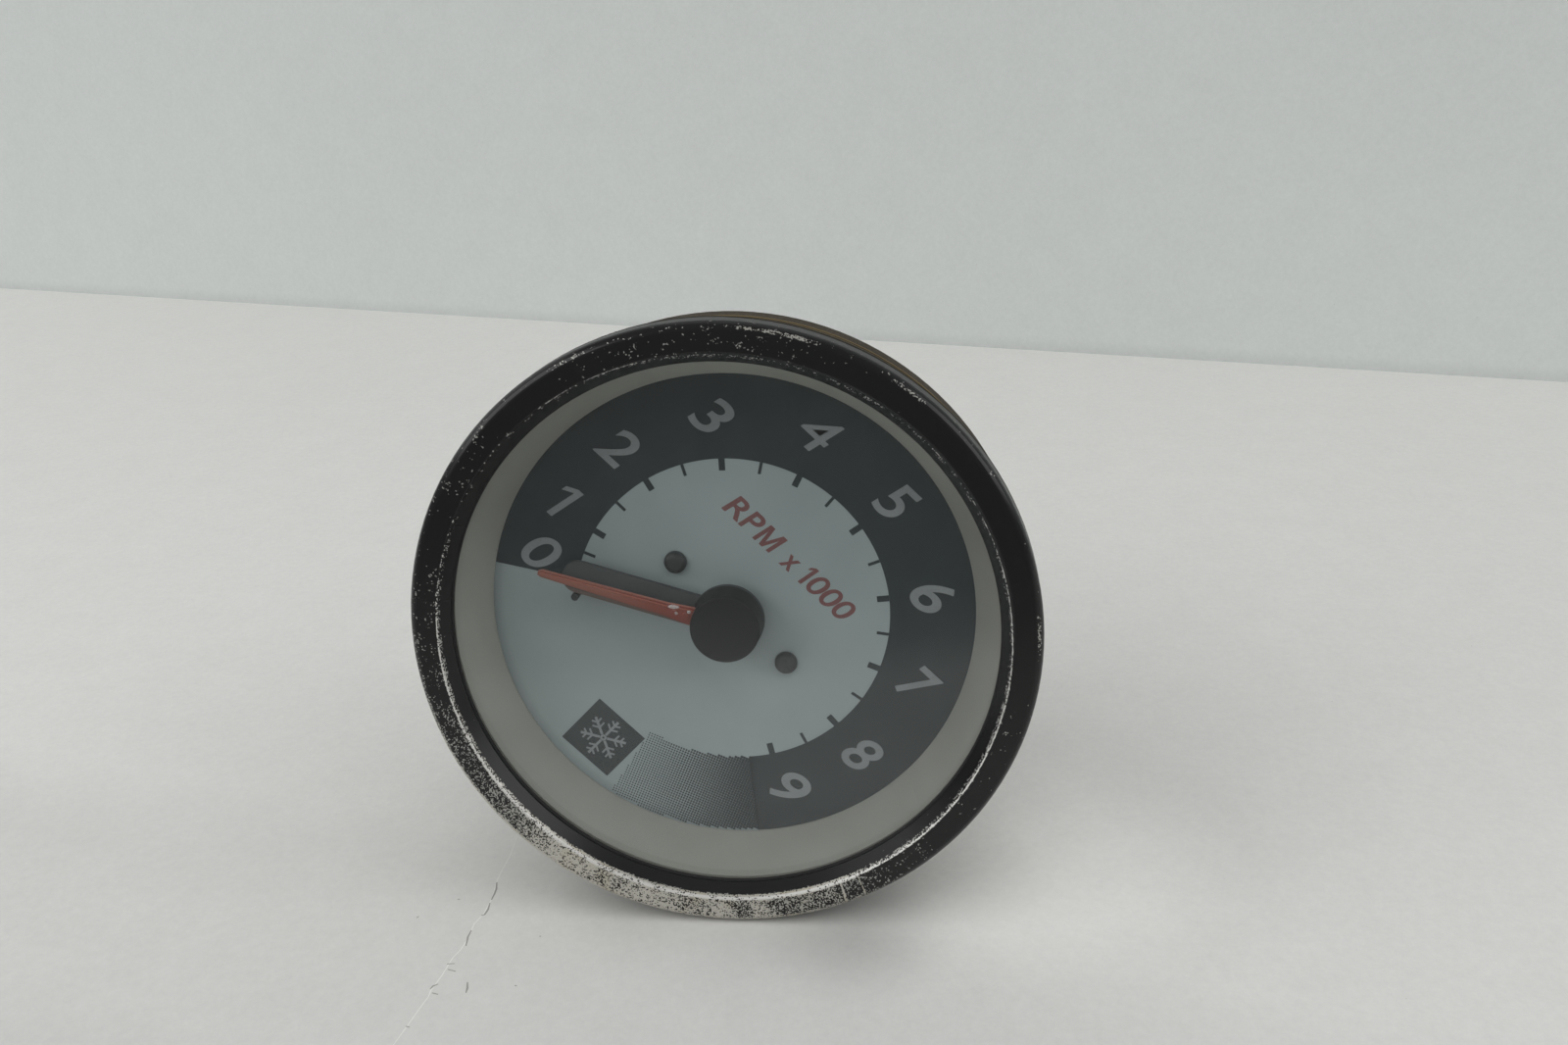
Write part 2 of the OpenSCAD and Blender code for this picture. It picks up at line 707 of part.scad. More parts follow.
// Two electrolytic capacitors
module capacitors() {
    color([0.15, 0.2, 0.35]) for (i = [0, 1]) {
        bar(can_r, board_back_y, board_back_y + can_l, -can_x, can_z - i * (2 * can_r + can_gap));
    }
}

// Resistors in a row, each a body on a bent wire
module resistors() {
    wire_y = board_back_y + resistor_r + slip_gap;   // middle of the wire that runs through the body
    for (i = [0 : resistor_count - 1]) translate([resistor_x, 0, resistor_z - i * resistor_pitch]) {
        color([0.8, 0.68, 0.5]) translate([0, wire_y, 0]) rotate([0, 90, 0]) {
            cylinder(r = resistor_r, h = resistor_l, center = true);
        }
        color([0.8, 0.8, 0.8]) for (side = [-1, 1]) {
            block(wire_w, wire_w, board_back_y, wire_y + wire_w / 2, side * resistor_leg_x);
            block(3 * wire_w, wire_w, wire_y - wire_w / 2, wire_y + wire_w / 2,
                side * (resistor_leg_x - wire_w));
        }
    }
}

// Calibration trimmer with its slotted rotor
module trimmer() {
    body_top_y = board_back_y + trimmer_t;
    top_y = body_top_y + trimmer_rotor_t;
    color([0.2, 0.35, 0.6]) translate([trimmer_at, 0, -trimmer_at]) difference() {
        union() {
            block(trimmer_w, trimmer_w, board_back_y, body_top_y);
            bar(trimmer_rotor_r, body_top_y, top_y);
        }
        block(trimmer_rotor_r * 1.4, screw_slot_w, top_y - trimmer_rotor_t / 2, top_y + 1);
    }
}

// Stiff leads from the board to the tails of the blades
module terminal_leads() {
    color([0.75, 0.45, 0.25]) for (i = [-1 : 1]) {
        bar(lead_r, board_y, blade_tail_y, i * terminal_pitch, -terminal_z);
        bar(solder_r, board_back_y, board_back_y + solder_t, i * terminal_pitch, -terminal_z);
    }
}

// Hole in the back that lets the lamp holder's lugs in and then holds them
module lamp_opening() {
    translate([0, back_in_y - 1, lamp_z]) rotate([-90, 0, 0]) linear_extrude(case_t + 2) {
        circle(barrel_r + turn_gap);
        for (side = [0, 180]) rotate(side + lock_turn) {
            ring_sector(barrel_r + lug_reach + turn_gap, barrel_r - 1, lug_width_deg + lug_play_deg);
        }
    }
}

// Drawn steel case: front flange, clinched neck, bell with a rolled line, shoulder, rear body and back
module case() {
    groove_bend = 2.5 * groove_depth;
    groove_x = bell_r + groove_bend - groove_depth;
    groove_half = acos(1 - groove_depth / groove_bend);   // half of the groove's arc
    step_r = 1.2;
    ramp = 0.3;
    corner_x = bell_r - bell_corner_r;
    corner_y = bell_depth - bell_corner_r;
    back_x = body_r - back_corner_r;
    back_y = case_depth - back_corner_r;
    color([0.45, 0.38, 0.2]) difference() {
        turned(concat(
            [[flange_r, flange_y], [flange_r, -bezel_t], [neck_r, -bezel_t], [neck_r, -ramp], [bell_r, 0]],
            arc(groove_x, groove_y, groove_bend, 180 + groove_half, 180 - groove_half, 6),
            arc(corner_x, corner_y, bell_corner_r, 0, 90, 8),
            arc(body_r + step_r, bell_depth + step_r, step_r, 270, 180, 6),
            arc(back_x, back_y, back_corner_r, 0, 90, 8),
            [[0, case_depth], [0, back_in_y]],
            arc(back_x, back_y, back_corner_r - case_t, 90, 0, 6),
            [[body_in_r, shoulder_y + 1], [body_in_r + 1, shoulder_y]],
            arc(corner_x, corner_y, bell_corner_r - case_t, 90, 0, 5),
            [[bell_in_r, case_t + neck_step], [mouth_r, case_t], [mouth_r, flange_y]]
        ));
        lamp_opening();
        for (side = [-1, 1]) bar(stud_neck_r + press_gap, back_in_y - 1, case_depth + 1, side * stud_x);
        block(insulator_w, insulator_h, back_in_y - 1, case_depth + 1, 0, -terminal_z);
    }
}

// Two studs with heads inside the back and necks pressed into it, free for a clamp bracket
module mounting_studs() {
    chamfer = 0.7;
    head_y = back_in_y - stud_head_t;
    tip_y = case_depth + stud_l;
    color([0.75, 0.72, 0.6]) for (side = [-1, 1]) translate([side * stud_x, 0, 0]) turned([
        [0, head_y], [stud_head_r, head_y], [stud_head_r, back_in_y], [stud_neck_r, back_in_y],
        [stud_neck_r, case_depth], [stud_r, case_depth],
        [stud_r, tip_y - chamfer], [stud_r - chamfer, tip_y], [0, tip_y]
    ]);
}

// Black insulator through the back, with a slot for each blade
module terminal_insulator() {
    back_y = case_depth + insulator_t;
    lip_w = insulator_w + 2 * insulator_lip;
    lip_h = insulator_h + 2 * insulator_lip;
    color([0.08, 0.08, 0.08]) translate([0, 0, -terminal_z]) difference() {
        union() {
            plate(case_depth, back_y) rounded_rect(lip_w, lip_h, 2);
            block(insulator_w - 2 * fit_gap, insulator_h - 2 * fit_gap, insulator_in_y, case_depth);
        }
        for (i = [-1 : 1]) {
            translate([i * terminal_pitch, 0, 0]) {
                block(terminal_w + fit_gap, terminal_t + fit_gap, insulator_in_y - 1, back_y + 1);
            }
        }
    }
}

// Three blades with a hole near the tip and a narrow tail inside
module terminal_blades() {
    tip_y = case_depth + insulator_t + terminal_l;
    half_w = terminal_w / 2;
    chamfer = 1;
    hole_r = 0.9;
    color([0.78, 0.76, 0.7]) for (i = [-1 : 1]) translate([i * terminal_pitch, 0, -terminal_z]) {
        difference() {
            translate([0, 0, -terminal_t / 2]) linear_extrude(terminal_t) polygon([
                [-tail_w / 2, blade_tail_y], [tail_w / 2, blade_tail_y], [tail_w / 2, insulator_in_y],
                [half_w, insulator_in_y], [half_w, tip_y - chamfer], [half_w - chamfer, tip_y],
                [chamfer - half_w, tip_y], [-half_w, tip_y - chamfer],
                [-half_w, insulator_in_y], [-tail_w / 2, insulator_in_y]
            ]);
            translate([0, tip_y - 3, -terminal_t]) cylinder(r = hole_r, h = 2 * terminal_t, $fn = 32);
        }
    }
}

// Twist-lock holder: barrel, two lugs behind the back plate, flange and finger grip
module lamp_holder() {
    color([0.09, 0.09, 0.09]) translate([0, 0, lamp_z]) difference() {
        union() {
            bar(barrel_r, holder_y, holder_back_y + 1);
            bar(holder_flange_r, holder_flange_y, holder_back_y);
            block(2 * barrel_r + holder_flange_w, grip_w, holder_back_y, holder_back_y + grip_l);
            around([0, 180]) plate(lug_y, lug_y + lug_t) {
                ring_sector(barrel_r + lug_reach, barrel_r - 1, lug_width_deg);
            }
        }
        bar(bulb_r + fit_gap, holder_y - 1, wedge_y);
        block(wedge_w + 2 * fit_gap, wedge_t + 2 * fit_gap, wedge_y - 1, wedge_y + wedge_l + 0.5);
        for (side = [-1, 1]) {
            block(contact_w + fit_gap, contact_t + fit_gap, wedge_y, holder_back_y + grip_l + 1,
                side * contact_x, side * contact_z);
        }
    }
}

// Wedge-base bulb: round glass with a flat pinched foot
module lamp_bulb() {
    neck_y = wedge_y - fit_gap;
    color([0.9, 0.92, 0.9, 0.4]) translate([0, 0, lamp_z]) {
        turned(concat(
            arc(0, wedge_y - bulb_l + bulb_r, bulb_r, -90, 0, 10),
            [[bulb_r, neck_y], [0, neck_y]]
        ));
        block(wedge_w, wedge_t, neck_y, wedge_y + wedge_l);
    }
}

// Two contact strips beside the bulb's foot that come out of the grip as tabs
module lamp_contacts() {
    color([0.8, 0.65, 0.3]) translate([0, 0, lamp_z]) for (side = [-1, 1]) {
        block(contact_w, contact_t, wedge_y + fit_gap, holder_back_y + grip_l + contact_l,
            side * contact_x, side * contact_z);
    }
}

// Rubber ring under the holder's flange
module lamp_seal() {
    color([0.06, 0.06, 0.06]) tube(holder_flange_r - 0.4, barrel_r, seal_y, holder_flange_y, 0, lamp_z);
}

bezel();
bezel_gasket();
lens();
shade_ring();
dial_plate();
dial_pegs();
stop_pin();
pointer_blade();
pointer_carrier();
pointer_cap();
pointer_counterweight();
spindle();
rotor_magnet();
bobbin_front();
bobbin_rear();
coil_inner();
coil_outer();
front_bearing();
rear_bearing();
shield_band();
coil_pins();
light_box();
circuit_board();
board_screws();
driver_chip();
capacitors();
resistors();
trimmer();
terminal_leads();
case();
mounting_studs();
terminal_insulator();
terminal_blades();
lamp_holder();
lamp_bulb();
lamp_contacts();
lamp_seal();
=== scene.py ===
import math

import bmesh
import bpy
from mathutils import Matrix, Vector


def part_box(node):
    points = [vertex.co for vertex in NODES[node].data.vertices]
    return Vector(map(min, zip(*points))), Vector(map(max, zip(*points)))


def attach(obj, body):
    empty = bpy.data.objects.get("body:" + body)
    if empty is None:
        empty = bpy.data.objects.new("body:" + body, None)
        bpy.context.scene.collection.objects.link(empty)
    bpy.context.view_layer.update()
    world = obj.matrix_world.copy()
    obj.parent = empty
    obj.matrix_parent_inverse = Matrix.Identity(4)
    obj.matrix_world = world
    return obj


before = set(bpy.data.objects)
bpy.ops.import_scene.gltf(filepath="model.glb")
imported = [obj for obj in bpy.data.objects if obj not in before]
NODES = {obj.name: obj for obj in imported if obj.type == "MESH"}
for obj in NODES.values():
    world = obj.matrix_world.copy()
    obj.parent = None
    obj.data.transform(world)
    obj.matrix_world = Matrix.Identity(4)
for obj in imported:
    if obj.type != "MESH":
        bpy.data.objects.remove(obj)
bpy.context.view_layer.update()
MM = 0.001


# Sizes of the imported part, in millimetres: y is depth along the gauge axis, r is distance from it

def low(node):
    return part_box(node)[0] / MM


def high(node):
    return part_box(node)[1] / MM


DIAL_Y = low("dial_plate").y        # the dial's printed face
BEZEL_R = high("bezel").x
FACE_Y = low("bezel").y             # the bezel's flat face
WINDOW_R = BEZEL_R - 5.5            # the opening in the bezel
CREST_R = WINDOW_R + 1.3            # where the bezel's inner slope meets its face
DIAL_OPEN_R = WINDOW_R - 3.4        # the opening of the shade ring over the dial
GROOVE_Y = 9.0                      # the rolled line round the case's bell
BODY_R = BEZEL_R - 8.0              # the case behind its bell
FEET = ((-3.5, 44.0), (13.3, 42.5))     # (y, r) of what the part stands on: the bezel's rim and the bell's end
POINTER_REST = 208                  # the pointer's direction at rest, in degrees


# Node helpers

class Graph:
    """The node tree of a material, or of the world, with short ways to make and join nodes."""

    def __init__(self, name, world=False):
        self.owner = (bpy.data.worlds if world else bpy.data.materials).new(name)
        self.owner.use_nodes = True
        self.tree = self.owner.node_tree
        self.tree.nodes.clear()
        self.out = self.tree.nodes.new("ShaderNodeOutputWorld" if world else "ShaderNodeOutputMaterial")
        self._coords = None

    def node(self, kind, **values):
        n = self.tree.nodes.new(kind)
        for key, value in values.items():
            setattr(n, key, value)
        return n

    def link(self, output, socket):
        self.tree.links.new(output, socket)

    def put(self, socket, value):
        """Joins a socket to the value, or sets it where the value is plain."""
        if isinstance(value, bpy.types.NodeSocket):
            self.link(value, socket)
        elif isinstance(value, (tuple, list)) and len(value) == 3 and socket.type == "RGBA":
            socket.default_value = (*value, 1)
        else:
            socket.default_value = value

    def coords(self):
        """The part's own coordinates in millimetres: every object sits at the part's origin."""
        if self._coords is None:
            tex = self.node("ShaderNodeTexCoord")
            scale = self.node("ShaderNodeVectorMath", operation="SCALE")
            self.link(tex.outputs["Object"], scale.inputs[0])
            scale.inputs["Scale"].default_value = 1 / MM
            self._coords = scale.outputs[0]
        return self._coords

    def xyz(self):
        split = self.node("ShaderNodeSeparateXYZ")
        self.link(self.coords(), split.inputs[0])
        return split.outputs

    def math(self, operation, a, b=0.0, clamp=False):
        n = self.node("ShaderNodeMath", operation=operation, use_clamp=clamp)
        self.put(n.inputs[0], a)
        self.put(n.inputs[1], b)
        return n.outputs[0]

    def plus(self, first, *others):
        for value in others:
            first = self.math("ADD", first, value)
        return first

    def minus(self, a, b):
        return self.math("SUBTRACT", a, b)

    def times(self, a, b):
        return self.math("MULTIPLY", a, b)

    def most(self, a, b):
        return self.math("MAXIMUM", a, b)

    def rest(self, value):
        """What is left of 1."""
        return self.minus(1.0, value)

    def dot(self, vector, direction):
        n = self.node("ShaderNodeVectorMath", operation="DOT_PRODUCT")
        self.link(vector, n.inputs[0])
        n.inputs[1].default_value = direction
        return n.outputs["Value"]

    def step(self, value, start, end):
        """0 before start, 1 after end, smooth between them."""
        n = self.node("ShaderNodeMapRange", interpolation_type="SMOOTHSTEP")
        self.put(n.inputs["Value"], value)
        self.put(n.inputs["From Min"], start)
        self.put(n.inputs["From Max"], end)
        return n.outputs[0]

    def texture(self, kind, size, shift, stretch=(1, 1, 1)):
        """A texture whose pattern is about size millimetres across, and that the shift makes unlike others."""
        at = self.node("ShaderNodeMapping")
        self.link(self.coords(), at.inputs["Vector"])
        at.inputs["Scale"].default_value = [1 / (size * s) for s in stretch]
        at.inputs["Location"].default_value = (shift, shift * 0.7, -shift)
        n = self.node(kind)
        self.link(at.outputs[0], n.inputs["Vector"])
        n.inputs["Scale"].default_value = 1
        return n

    def noise(self, size, detail=3.0, roughness=0.5, stretch=(1, 1, 1), shift=0.0):
        """Noise whose main lumps are about size millimetres across."""
        n = self.texture("ShaderNodeTexNoise", size, shift, stretch)
        n.inputs["Detail"].default_value = detail
        n.inputs["Roughness"].default_value = roughness
        return n.outputs["Fac"]

    def cells(self, size, shift=0.0):
        """Small irregular cells: the level of each, 0 to 1, and how far a point is from its middle in cells."""
        n = self.texture("ShaderNodeTexVoronoi", size, shift)
        split = self.node("ShaderNodeSeparateColor")
        self.link(n.outputs["Color"], split.inputs[0])
        return split.outputs[0], n.outputs["Distance"]

    def mix(self, factor, a, b, kind="RGBA"):
        """The colour a, turning into b as the factor goes from 0 to 1."""
        n = self.node("ShaderNodeMix", data_type=kind)
        self.put(n.inputs["Factor"], factor)
        self.put(n.inputs["A"], a)
        self.put(n.inputs["B"], b)
        return n.outputs["Result"]

    def between(self, factor, a, b):
        """The number a, turning into b as the factor goes from 0 to 1."""
        return self.mix(factor, a, b, kind="FLOAT")

    def mix_shaders(self, factor, a, b):
        n = self.node("ShaderNodeMixShader")
        for socket, value in zip(n.inputs, (factor, a.outputs[0], b.outputs[0])):
            self.put(socket, value)
        return n

    def angle(self):
        """The angle about the gauge axis as 0 to 1, counter-clockwise from the dial's right-hand side."""
        x, _, z = self.xyz()
        turns = self.math("DIVIDE", self.math("ARCTAN2", z, x), 2 * math.pi)
        return self.math("FRACT", self.plus(turns, 1.0))

    def radius(self):
        """The distance from the gauge axis in millimetres."""
        x, _, z = self.xyz()
        return self.math("SQRT", self.plus(self.times(x, x), self.times(z, z)))

    def by_angle(self, stops):
        """A value that follows (degrees, value) stops round the gauge."""
        return self.along(self.angle(), [(degrees / 360, value) for degrees, value in stops])

    def along(self, value, stops):
        """A level that follows (value, level) stops, with straight lines between them."""
        n = self.node("ShaderNodeValToRGB")
        self.put(n.inputs["Fac"], value)
        ramp = n.color_ramp
        while len(ramp.elements) < len(stops):
            ramp.elements.new(0.5)
        for element, (at, level) in zip(ramp.elements, stops):
            element.position = at
            element.color = (level, level, level, 1)
        return n.outputs["Color"]

    def near(self, value, centre, width, core=0.35):
        """1 in the core of the width on both sides of the centre, falling to 0 at the width."""
        off = self.math("ABSOLUTE", self.minus(value, centre))
        return self.rest(self.step(off, self.times(width, core), width))

    def bump(self, height, strength, distance):
        """A normal for a surface whose height of 1 stands the distance proud, in millimetres."""
        n = self.node("ShaderNodeBump")
        self.put(n.inputs["Height"], height)
        n.inputs["Strength"].default_value = strength
        n.inputs["Distance"].default_value = distance * MM
        return n.outputs[0]

    def principled(self, **values):
        """The main shader, with its sockets given by name."""
        n = self.node("ShaderNodeBsdfPrincipled")
        for key, value in values.items():
            self.put(n.inputs[key.replace("_", " ")], value)
        return n

    def finish(self, shader):
        self.link(shader.outputs[0], self.out.inputs["Surface"])
        return self.owner


def srgb(r, g, b):
    """A colour as it is read on the screen, 0 to 255, in the scene's linear values."""
    def linear(c):
        c /= 255
        return c / 12.92 if c <= 0.04045 else ((c + 0.055) / 1.055) ** 2.4
    return (linear(r), linear(g), linear(b))


# Objects

def placed(name, data):
    """A new object of the scene, at the part's origin."""
    obj = bpy.data.objects.new(name, data)
    bpy.context.scene.collection.objects.link(obj)
    return obj


def mesh_from(bm, name):
    """A mesh of what was drawn, which is then let go."""
    mesh = bpy.data.meshes.new(name)
    bm.to_mesh(mesh)
    bm.free()
    return mesh


def dressed(mesh, material):
    """Gives a mesh this material in place of its own."""
    mesh.materials.clear()
    mesh.materials.append(material)


# Camera and stage

PICTURE_W, PICTURE_H = 1600, 1066       # the photograph, in pixels
# The camera fitted to the photograph: where it stands, in millimetres, and its right, up and back directions
CAMERA_AT = (-30.23, -191.04, 73.63)
CAMERA_AXES = ((0.72863, 0.10239, 0.67722), (-0.67296, 0.29101, 0.68004), (-0.12744, -0.95122, 0.28095))
SENSOR_W, LENS = 36, 33.75


def add_camera():
    """The camera, which takes in the whole photograph."""
    data = bpy.data.cameras.new("camera")
    data.sensor_width = SENSOR_W
    data.lens = LENS
    data.clip_start = 0.005
    data.clip_end = 20
    cam = placed("camera", data)
    turn = Matrix(CAMERA_AXES).transposed().to_4x4()
    cam.matrix_world = Matrix.Translation(Vector(CAMERA_AT) * MM) @ turn
    bpy.context.scene.camera = cam
    return cam


def pixel_ray(cam, x, y):
    """The direction from the camera through a pixel of the photograph."""
    focal = PICTURE_W * LENS / SENSOR_W
    return (cam.matrix_world.to_3x3() @ Vector((x - PICTURE_W / 2, PICTURE_H / 2 - y, -focal))).normalized()


# The mottling of the table and the wall: size in millimetres, detail, roughness, shift and weight of each noise,
# and the level under them all
MOTTLING = ((180, 2.0, 0.5, 0, 0.05), (9, 3.0, 0.5, 3, 0.06), (1.6, 3.0, 0.6, 12, 0.12), (0.6, 2.0, 0.6, 27, 0.08))
MOTTLING_BASE = 0.845
SPECK_SPACING, SPECK_DEPTH = 7, 0.25    # of the small dark specks: millimetres, and how much darker they are
FADE_SEEN = 0.76        # the lowest level of the fade's painted shade that the camera sees: only the glass mirrors a lower one


def one_sided(name, colour, rough, toward=None, fade=(), line=None, shadow_and_light_spots=()):
    """A stage surface that only its front shows, so that a view from behind looks through it.
    Fade is stops of (millimetres, level) along the direction toward, which paint shade on it. Line paints shade on
    a strip beside the fold, and is (direction, start, width, depth). The shadow and light spots are soft round
    patches of (middle, size, level): painted shadow where the level is under 1, painted light where it is over."""
    g = Graph(name)
    layers = [
        g.times(g.noise(size, detail, roughness, shift=shift), weight)
        for size, detail, roughness, shift, weight in MOTTLING
    ]
    shade = g.plus(*layers, MOTTLING_BASE)
    level, off = g.cells(SPECK_SPACING, shift=2)
    speck = g.times(g.step(level, 0.72, 0.74), g.rest(g.step(off, 0.012, 0.028)))
    shade = g.times(shade, g.rest(g.times(speck, SPECK_DEPTH)))
    if toward is not None:
        first, last = fade[0][0], fade[-1][0]
        at = g.math("DIVIDE", g.minus(g.dot(g.coords(), toward), first), last - first, clamp=True)
        level = g.along(at, [((d - first) / (last - first), v) for d, v in fade])
        seen = g.node("ShaderNodeLightPath").outputs["Is Camera Ray"]
        shade = g.times(shade, g.between(seen, level, g.most(level, FADE_SEEN)))
    if line is not None:
        direction, start, width, depth = line
        close = g.rest(g.step(g.minus(g.dot(g.coords(), direction), start), 0.0, width))
        shade = g.times(shade, g.rest(g.times(close, depth)))
    for middle, size, level in shadow_and_light_spots:
        off = g.node("ShaderNodeVectorMath", operation="DISTANCE")
        g.link(g.coords(), off.inputs[0])
        off.inputs[1].default_value = middle
        close = g.rest(g.step(off.outputs["Value"], 0.0, size))
        shade = g.times(shade, g.between(close, 1.0, level))
    tone = g.node("ShaderNodeVectorMath", operation="SCALE")
    tone.inputs[0].default_value = colour
    g.put(tone.inputs["Scale"], shade)
    body = g.principled(Base_Color=tone.outputs[0], Roughness=rough, Specular_IOR_Level=0.2)
    side = g.node("ShaderNodeNewGeometry")
    return g.finish(g.mix_shaders(side.outputs["Backfacing"], body, g.node("ShaderNodeBsdfTransparent")))


def add_sheet(name, rows, material, facing):
    """A stage surface through rows of points, with its front to the given direction."""
    mesh = bpy.data.meshes.new(name)
    width = len(rows[0])
    points = [tuple(p) for row in rows for p in row]
    faces = [
        (r * width + c, r * width + c + 1, (r + 1) * width + c + 1, (r + 1) * width + c)
        for r in range(len(rows) - 1) for c in range(width - 1)
    ]
    mesh.from_pydata(points, [], faces)
    for p in mesh.polygons:
        p.use_smooth = True
    if mesh.polygons[0].normal.dot(facing) < 0:
        mesh.flip_normals()
    mesh.materials.append(material)
    placed(name, mesh)


TABLE_UP = (-0.703, 0.711)      # x and z of the table's normal: the gauge stands turned on its rim
TABLE_TILT = 5.7                # how far the gauge leans back on it, in degrees
FOLD = ((0, 294), (PICTURE_W, 390))     # pixels at the two ends of the faint line where the table turns up
FOLD_SHADE = (5.0, 0.1)         # how far up the wall the painted shade along that line reaches, in millimetres, and its depth
MATT = 0.85                     # the roughness of the table and the wall
# The table's painted shade: its level by how far towards the camera a point lies from below the part's origin, in
# millimetres
TABLE_PAINTED_SHADE = (
    (-700, 1.0), (0, 1.0), (20, 0.9), (50, 0.9), (80, 0.78), (115, 0.76), (145, 0.4), (190, 0.24), (700, 0.18)
)
# Painted shadow and painted light on the table, as soft patches: the three darker ones are the part's painted
# contact shadow, the last a painted pool of light. Each is a pixel of the photograph, a size in millimetres and a
# level
TABLE_SHADOW_AND_LIGHT_SPOTS = ((650, 922, 15, 0.84), (760, 950, 14, 0.9), (870, 952, 17, 0.7), (1040, 865, 36, 1.36))
# The rows of the table and the wall, in metres: along the fold, and (away from the camera, up)
STAGE_ALONG = (-1.6, -0.6, 0.0, 0.6, 1.6)
TABLE_ROWS = ((-1.6, 0.0), (-0.5, 0.0), (0.0, 0.0))
WALL_ROWS = ((0.0, 0.0), (0.0, 0.4), (0.0, 1.6))


def add_stage(cam):
    """A pale table that turns up into a wall along the faint line in the photograph. Returns the table's normal,
    the direction along the fold and the direction away from the camera."""
    tilt = math.radians(TABLE_TILT)
    up_x, up_z = TABLE_UP
    normal = Vector((up_x * math.cos(tilt), -math.sin(tilt), up_z * math.cos(tilt))).normalized()
    down = Vector((-normal.x, 0, -normal.z)).normalized()
    height = min((Vector((0, y, 0)) + down * r).dot(normal) for y, r in FEET) * MM
    eye = cam.matrix_world.translation

    def on_table(x, y):
        """The point of the table at a pixel of the photograph."""
        ray = pixel_ray(cam, x, y)
        return eye + ray * ((height - eye.dot(normal)) / ray.dot(normal))

    left, right = (on_table(x, y) for x, y in FOLD)
    along = (right - left).normalized()
    away = normal.cross(along).normalized()
    if away.dot(pixel_ray(cam, PICTURE_W / 2, PICTURE_H / 2)) < 0:
        away = -away
    middle = (left + right) / 2
    table = one_sided(
        "pale_plaster", srgb(213, 213, 210), MATT, toward=-away, fade=TABLE_PAINTED_SHADE,
        shadow_and_light_spots=[(on_table(x, y) / MM, size, level) for x, y, size, level in TABLE_SHADOW_AND_LIGHT_SPOTS]
    )
    wall = one_sided("pale_card", srgb(216, 220, 218), MATT, line=(normal, height / MM, *FOLD_SHADE))
    for name, profile, material, facing in (("floor", TABLE_ROWS, table, normal), ("wall", WALL_ROWS, wall, -away)):
        rows = [[middle + along * s + away * d + normal * h for s in STAGE_ALONG] for d, h in profile]
        add_sheet(name, rows, material, facing)
    add_cracks(on_table, normal)
    return normal, along, away


# A hairline crack in the table and the chips along it, through pixels of the photograph
CRACK = [
    (529, 849), (520, 874), (512, 888), (507, 899), (502, 917), (493, 933), (484, 942), (478, 957), (470, 969),
    (462, 977), (451, 995), (440, 1010), (437, 1017), (428, 1029), (416, 1046), (400, 1068)
]
CHIPS = [
    [(507, 900), (506.5, 907), (504.5, 912), (501.5, 918)], [(500, 921), (498, 928), (494.5, 933), (491, 934)],
    [(481, 949), (477.5, 956), (475.5, 965)], [(456, 983.5), (464, 983)], [(457, 989), (465, 991)],
    [(447, 1004), (442, 1006), (439, 1009)], [(441, 1013), (447, 1014.5)], [(414, 1047), (418, 1048)],
    [(467, 917.5), (469.5, 917.5)], [(425, 936.5), (427.5, 935)], [(550.5, 955), (552, 955.5)],
    [(525, 1005.5), (527.5, 1006)], [(477, 1002), (477, 1008), (475.5, 1013)]
]
# In millimetres: the widths, and how far the first strip lies above the table and each next one above that
CRACK_W, CHIP_W = 0.15, 0.3
LIFT, LIFT_STEP = 0.01, 0.002
TIP = 0.6               # the share of its width that a strip has at its ends


def add_cracks(on_table, normal):
    """Thin strips on the table for the crack and its chips."""
    light = one_sided("crack_light", srgb(222, 222, 218), MATT)
    dark = one_sided("crack_dark", srgb(150, 149, 146), MATT)
    for i, (path, width, material) in enumerate([(CRACK, CRACK_W, light)] + [(c, CHIP_W, dark) for c in CHIPS]):
        points = [on_table(x, y) + normal * (LIFT + LIFT_STEP * i) * MM for x, y in path]
        last = len(points) - 1
        rows = []
        for k, p in enumerate(points):
            run = (points[min(k + 1, last)] - points[max(k - 1, 0)]).normalized()
            half = run.cross(normal) * width / 2 * MM * (TIP if k in (0, last) else 1.0)
            rows.append([p - half, p + half])
        add_sheet("crack_%d" % i, rows, material, normal)


ROOM, CEILING = 0.02, 1.45      # the levels at which the world lights the part from the sides and from above
ROOM_IN_GLOSS = 0.22    # the room's level where the part's gloss shows it
ROOM_SEEN = 0.52        # its level behind the part in a view from another side


def area_lamp(name, at, size, power, mirrored=True):
    """A rectangular lamp, aimed at the part. One that isn't mirrored doesn't show in the part's gloss."""
    data = bpy.data.lights.new(name, "AREA")
    data.shape = "RECTANGLE"
    data.size, data.size_y = size
    data.energy = power
    lamp = placed(name, data)
    lamp.location = at
    lamp.rotation_euler = (-at).to_track_quat("-Z", "Y").to_euler()
    lamp.visible_glossy = mirrored


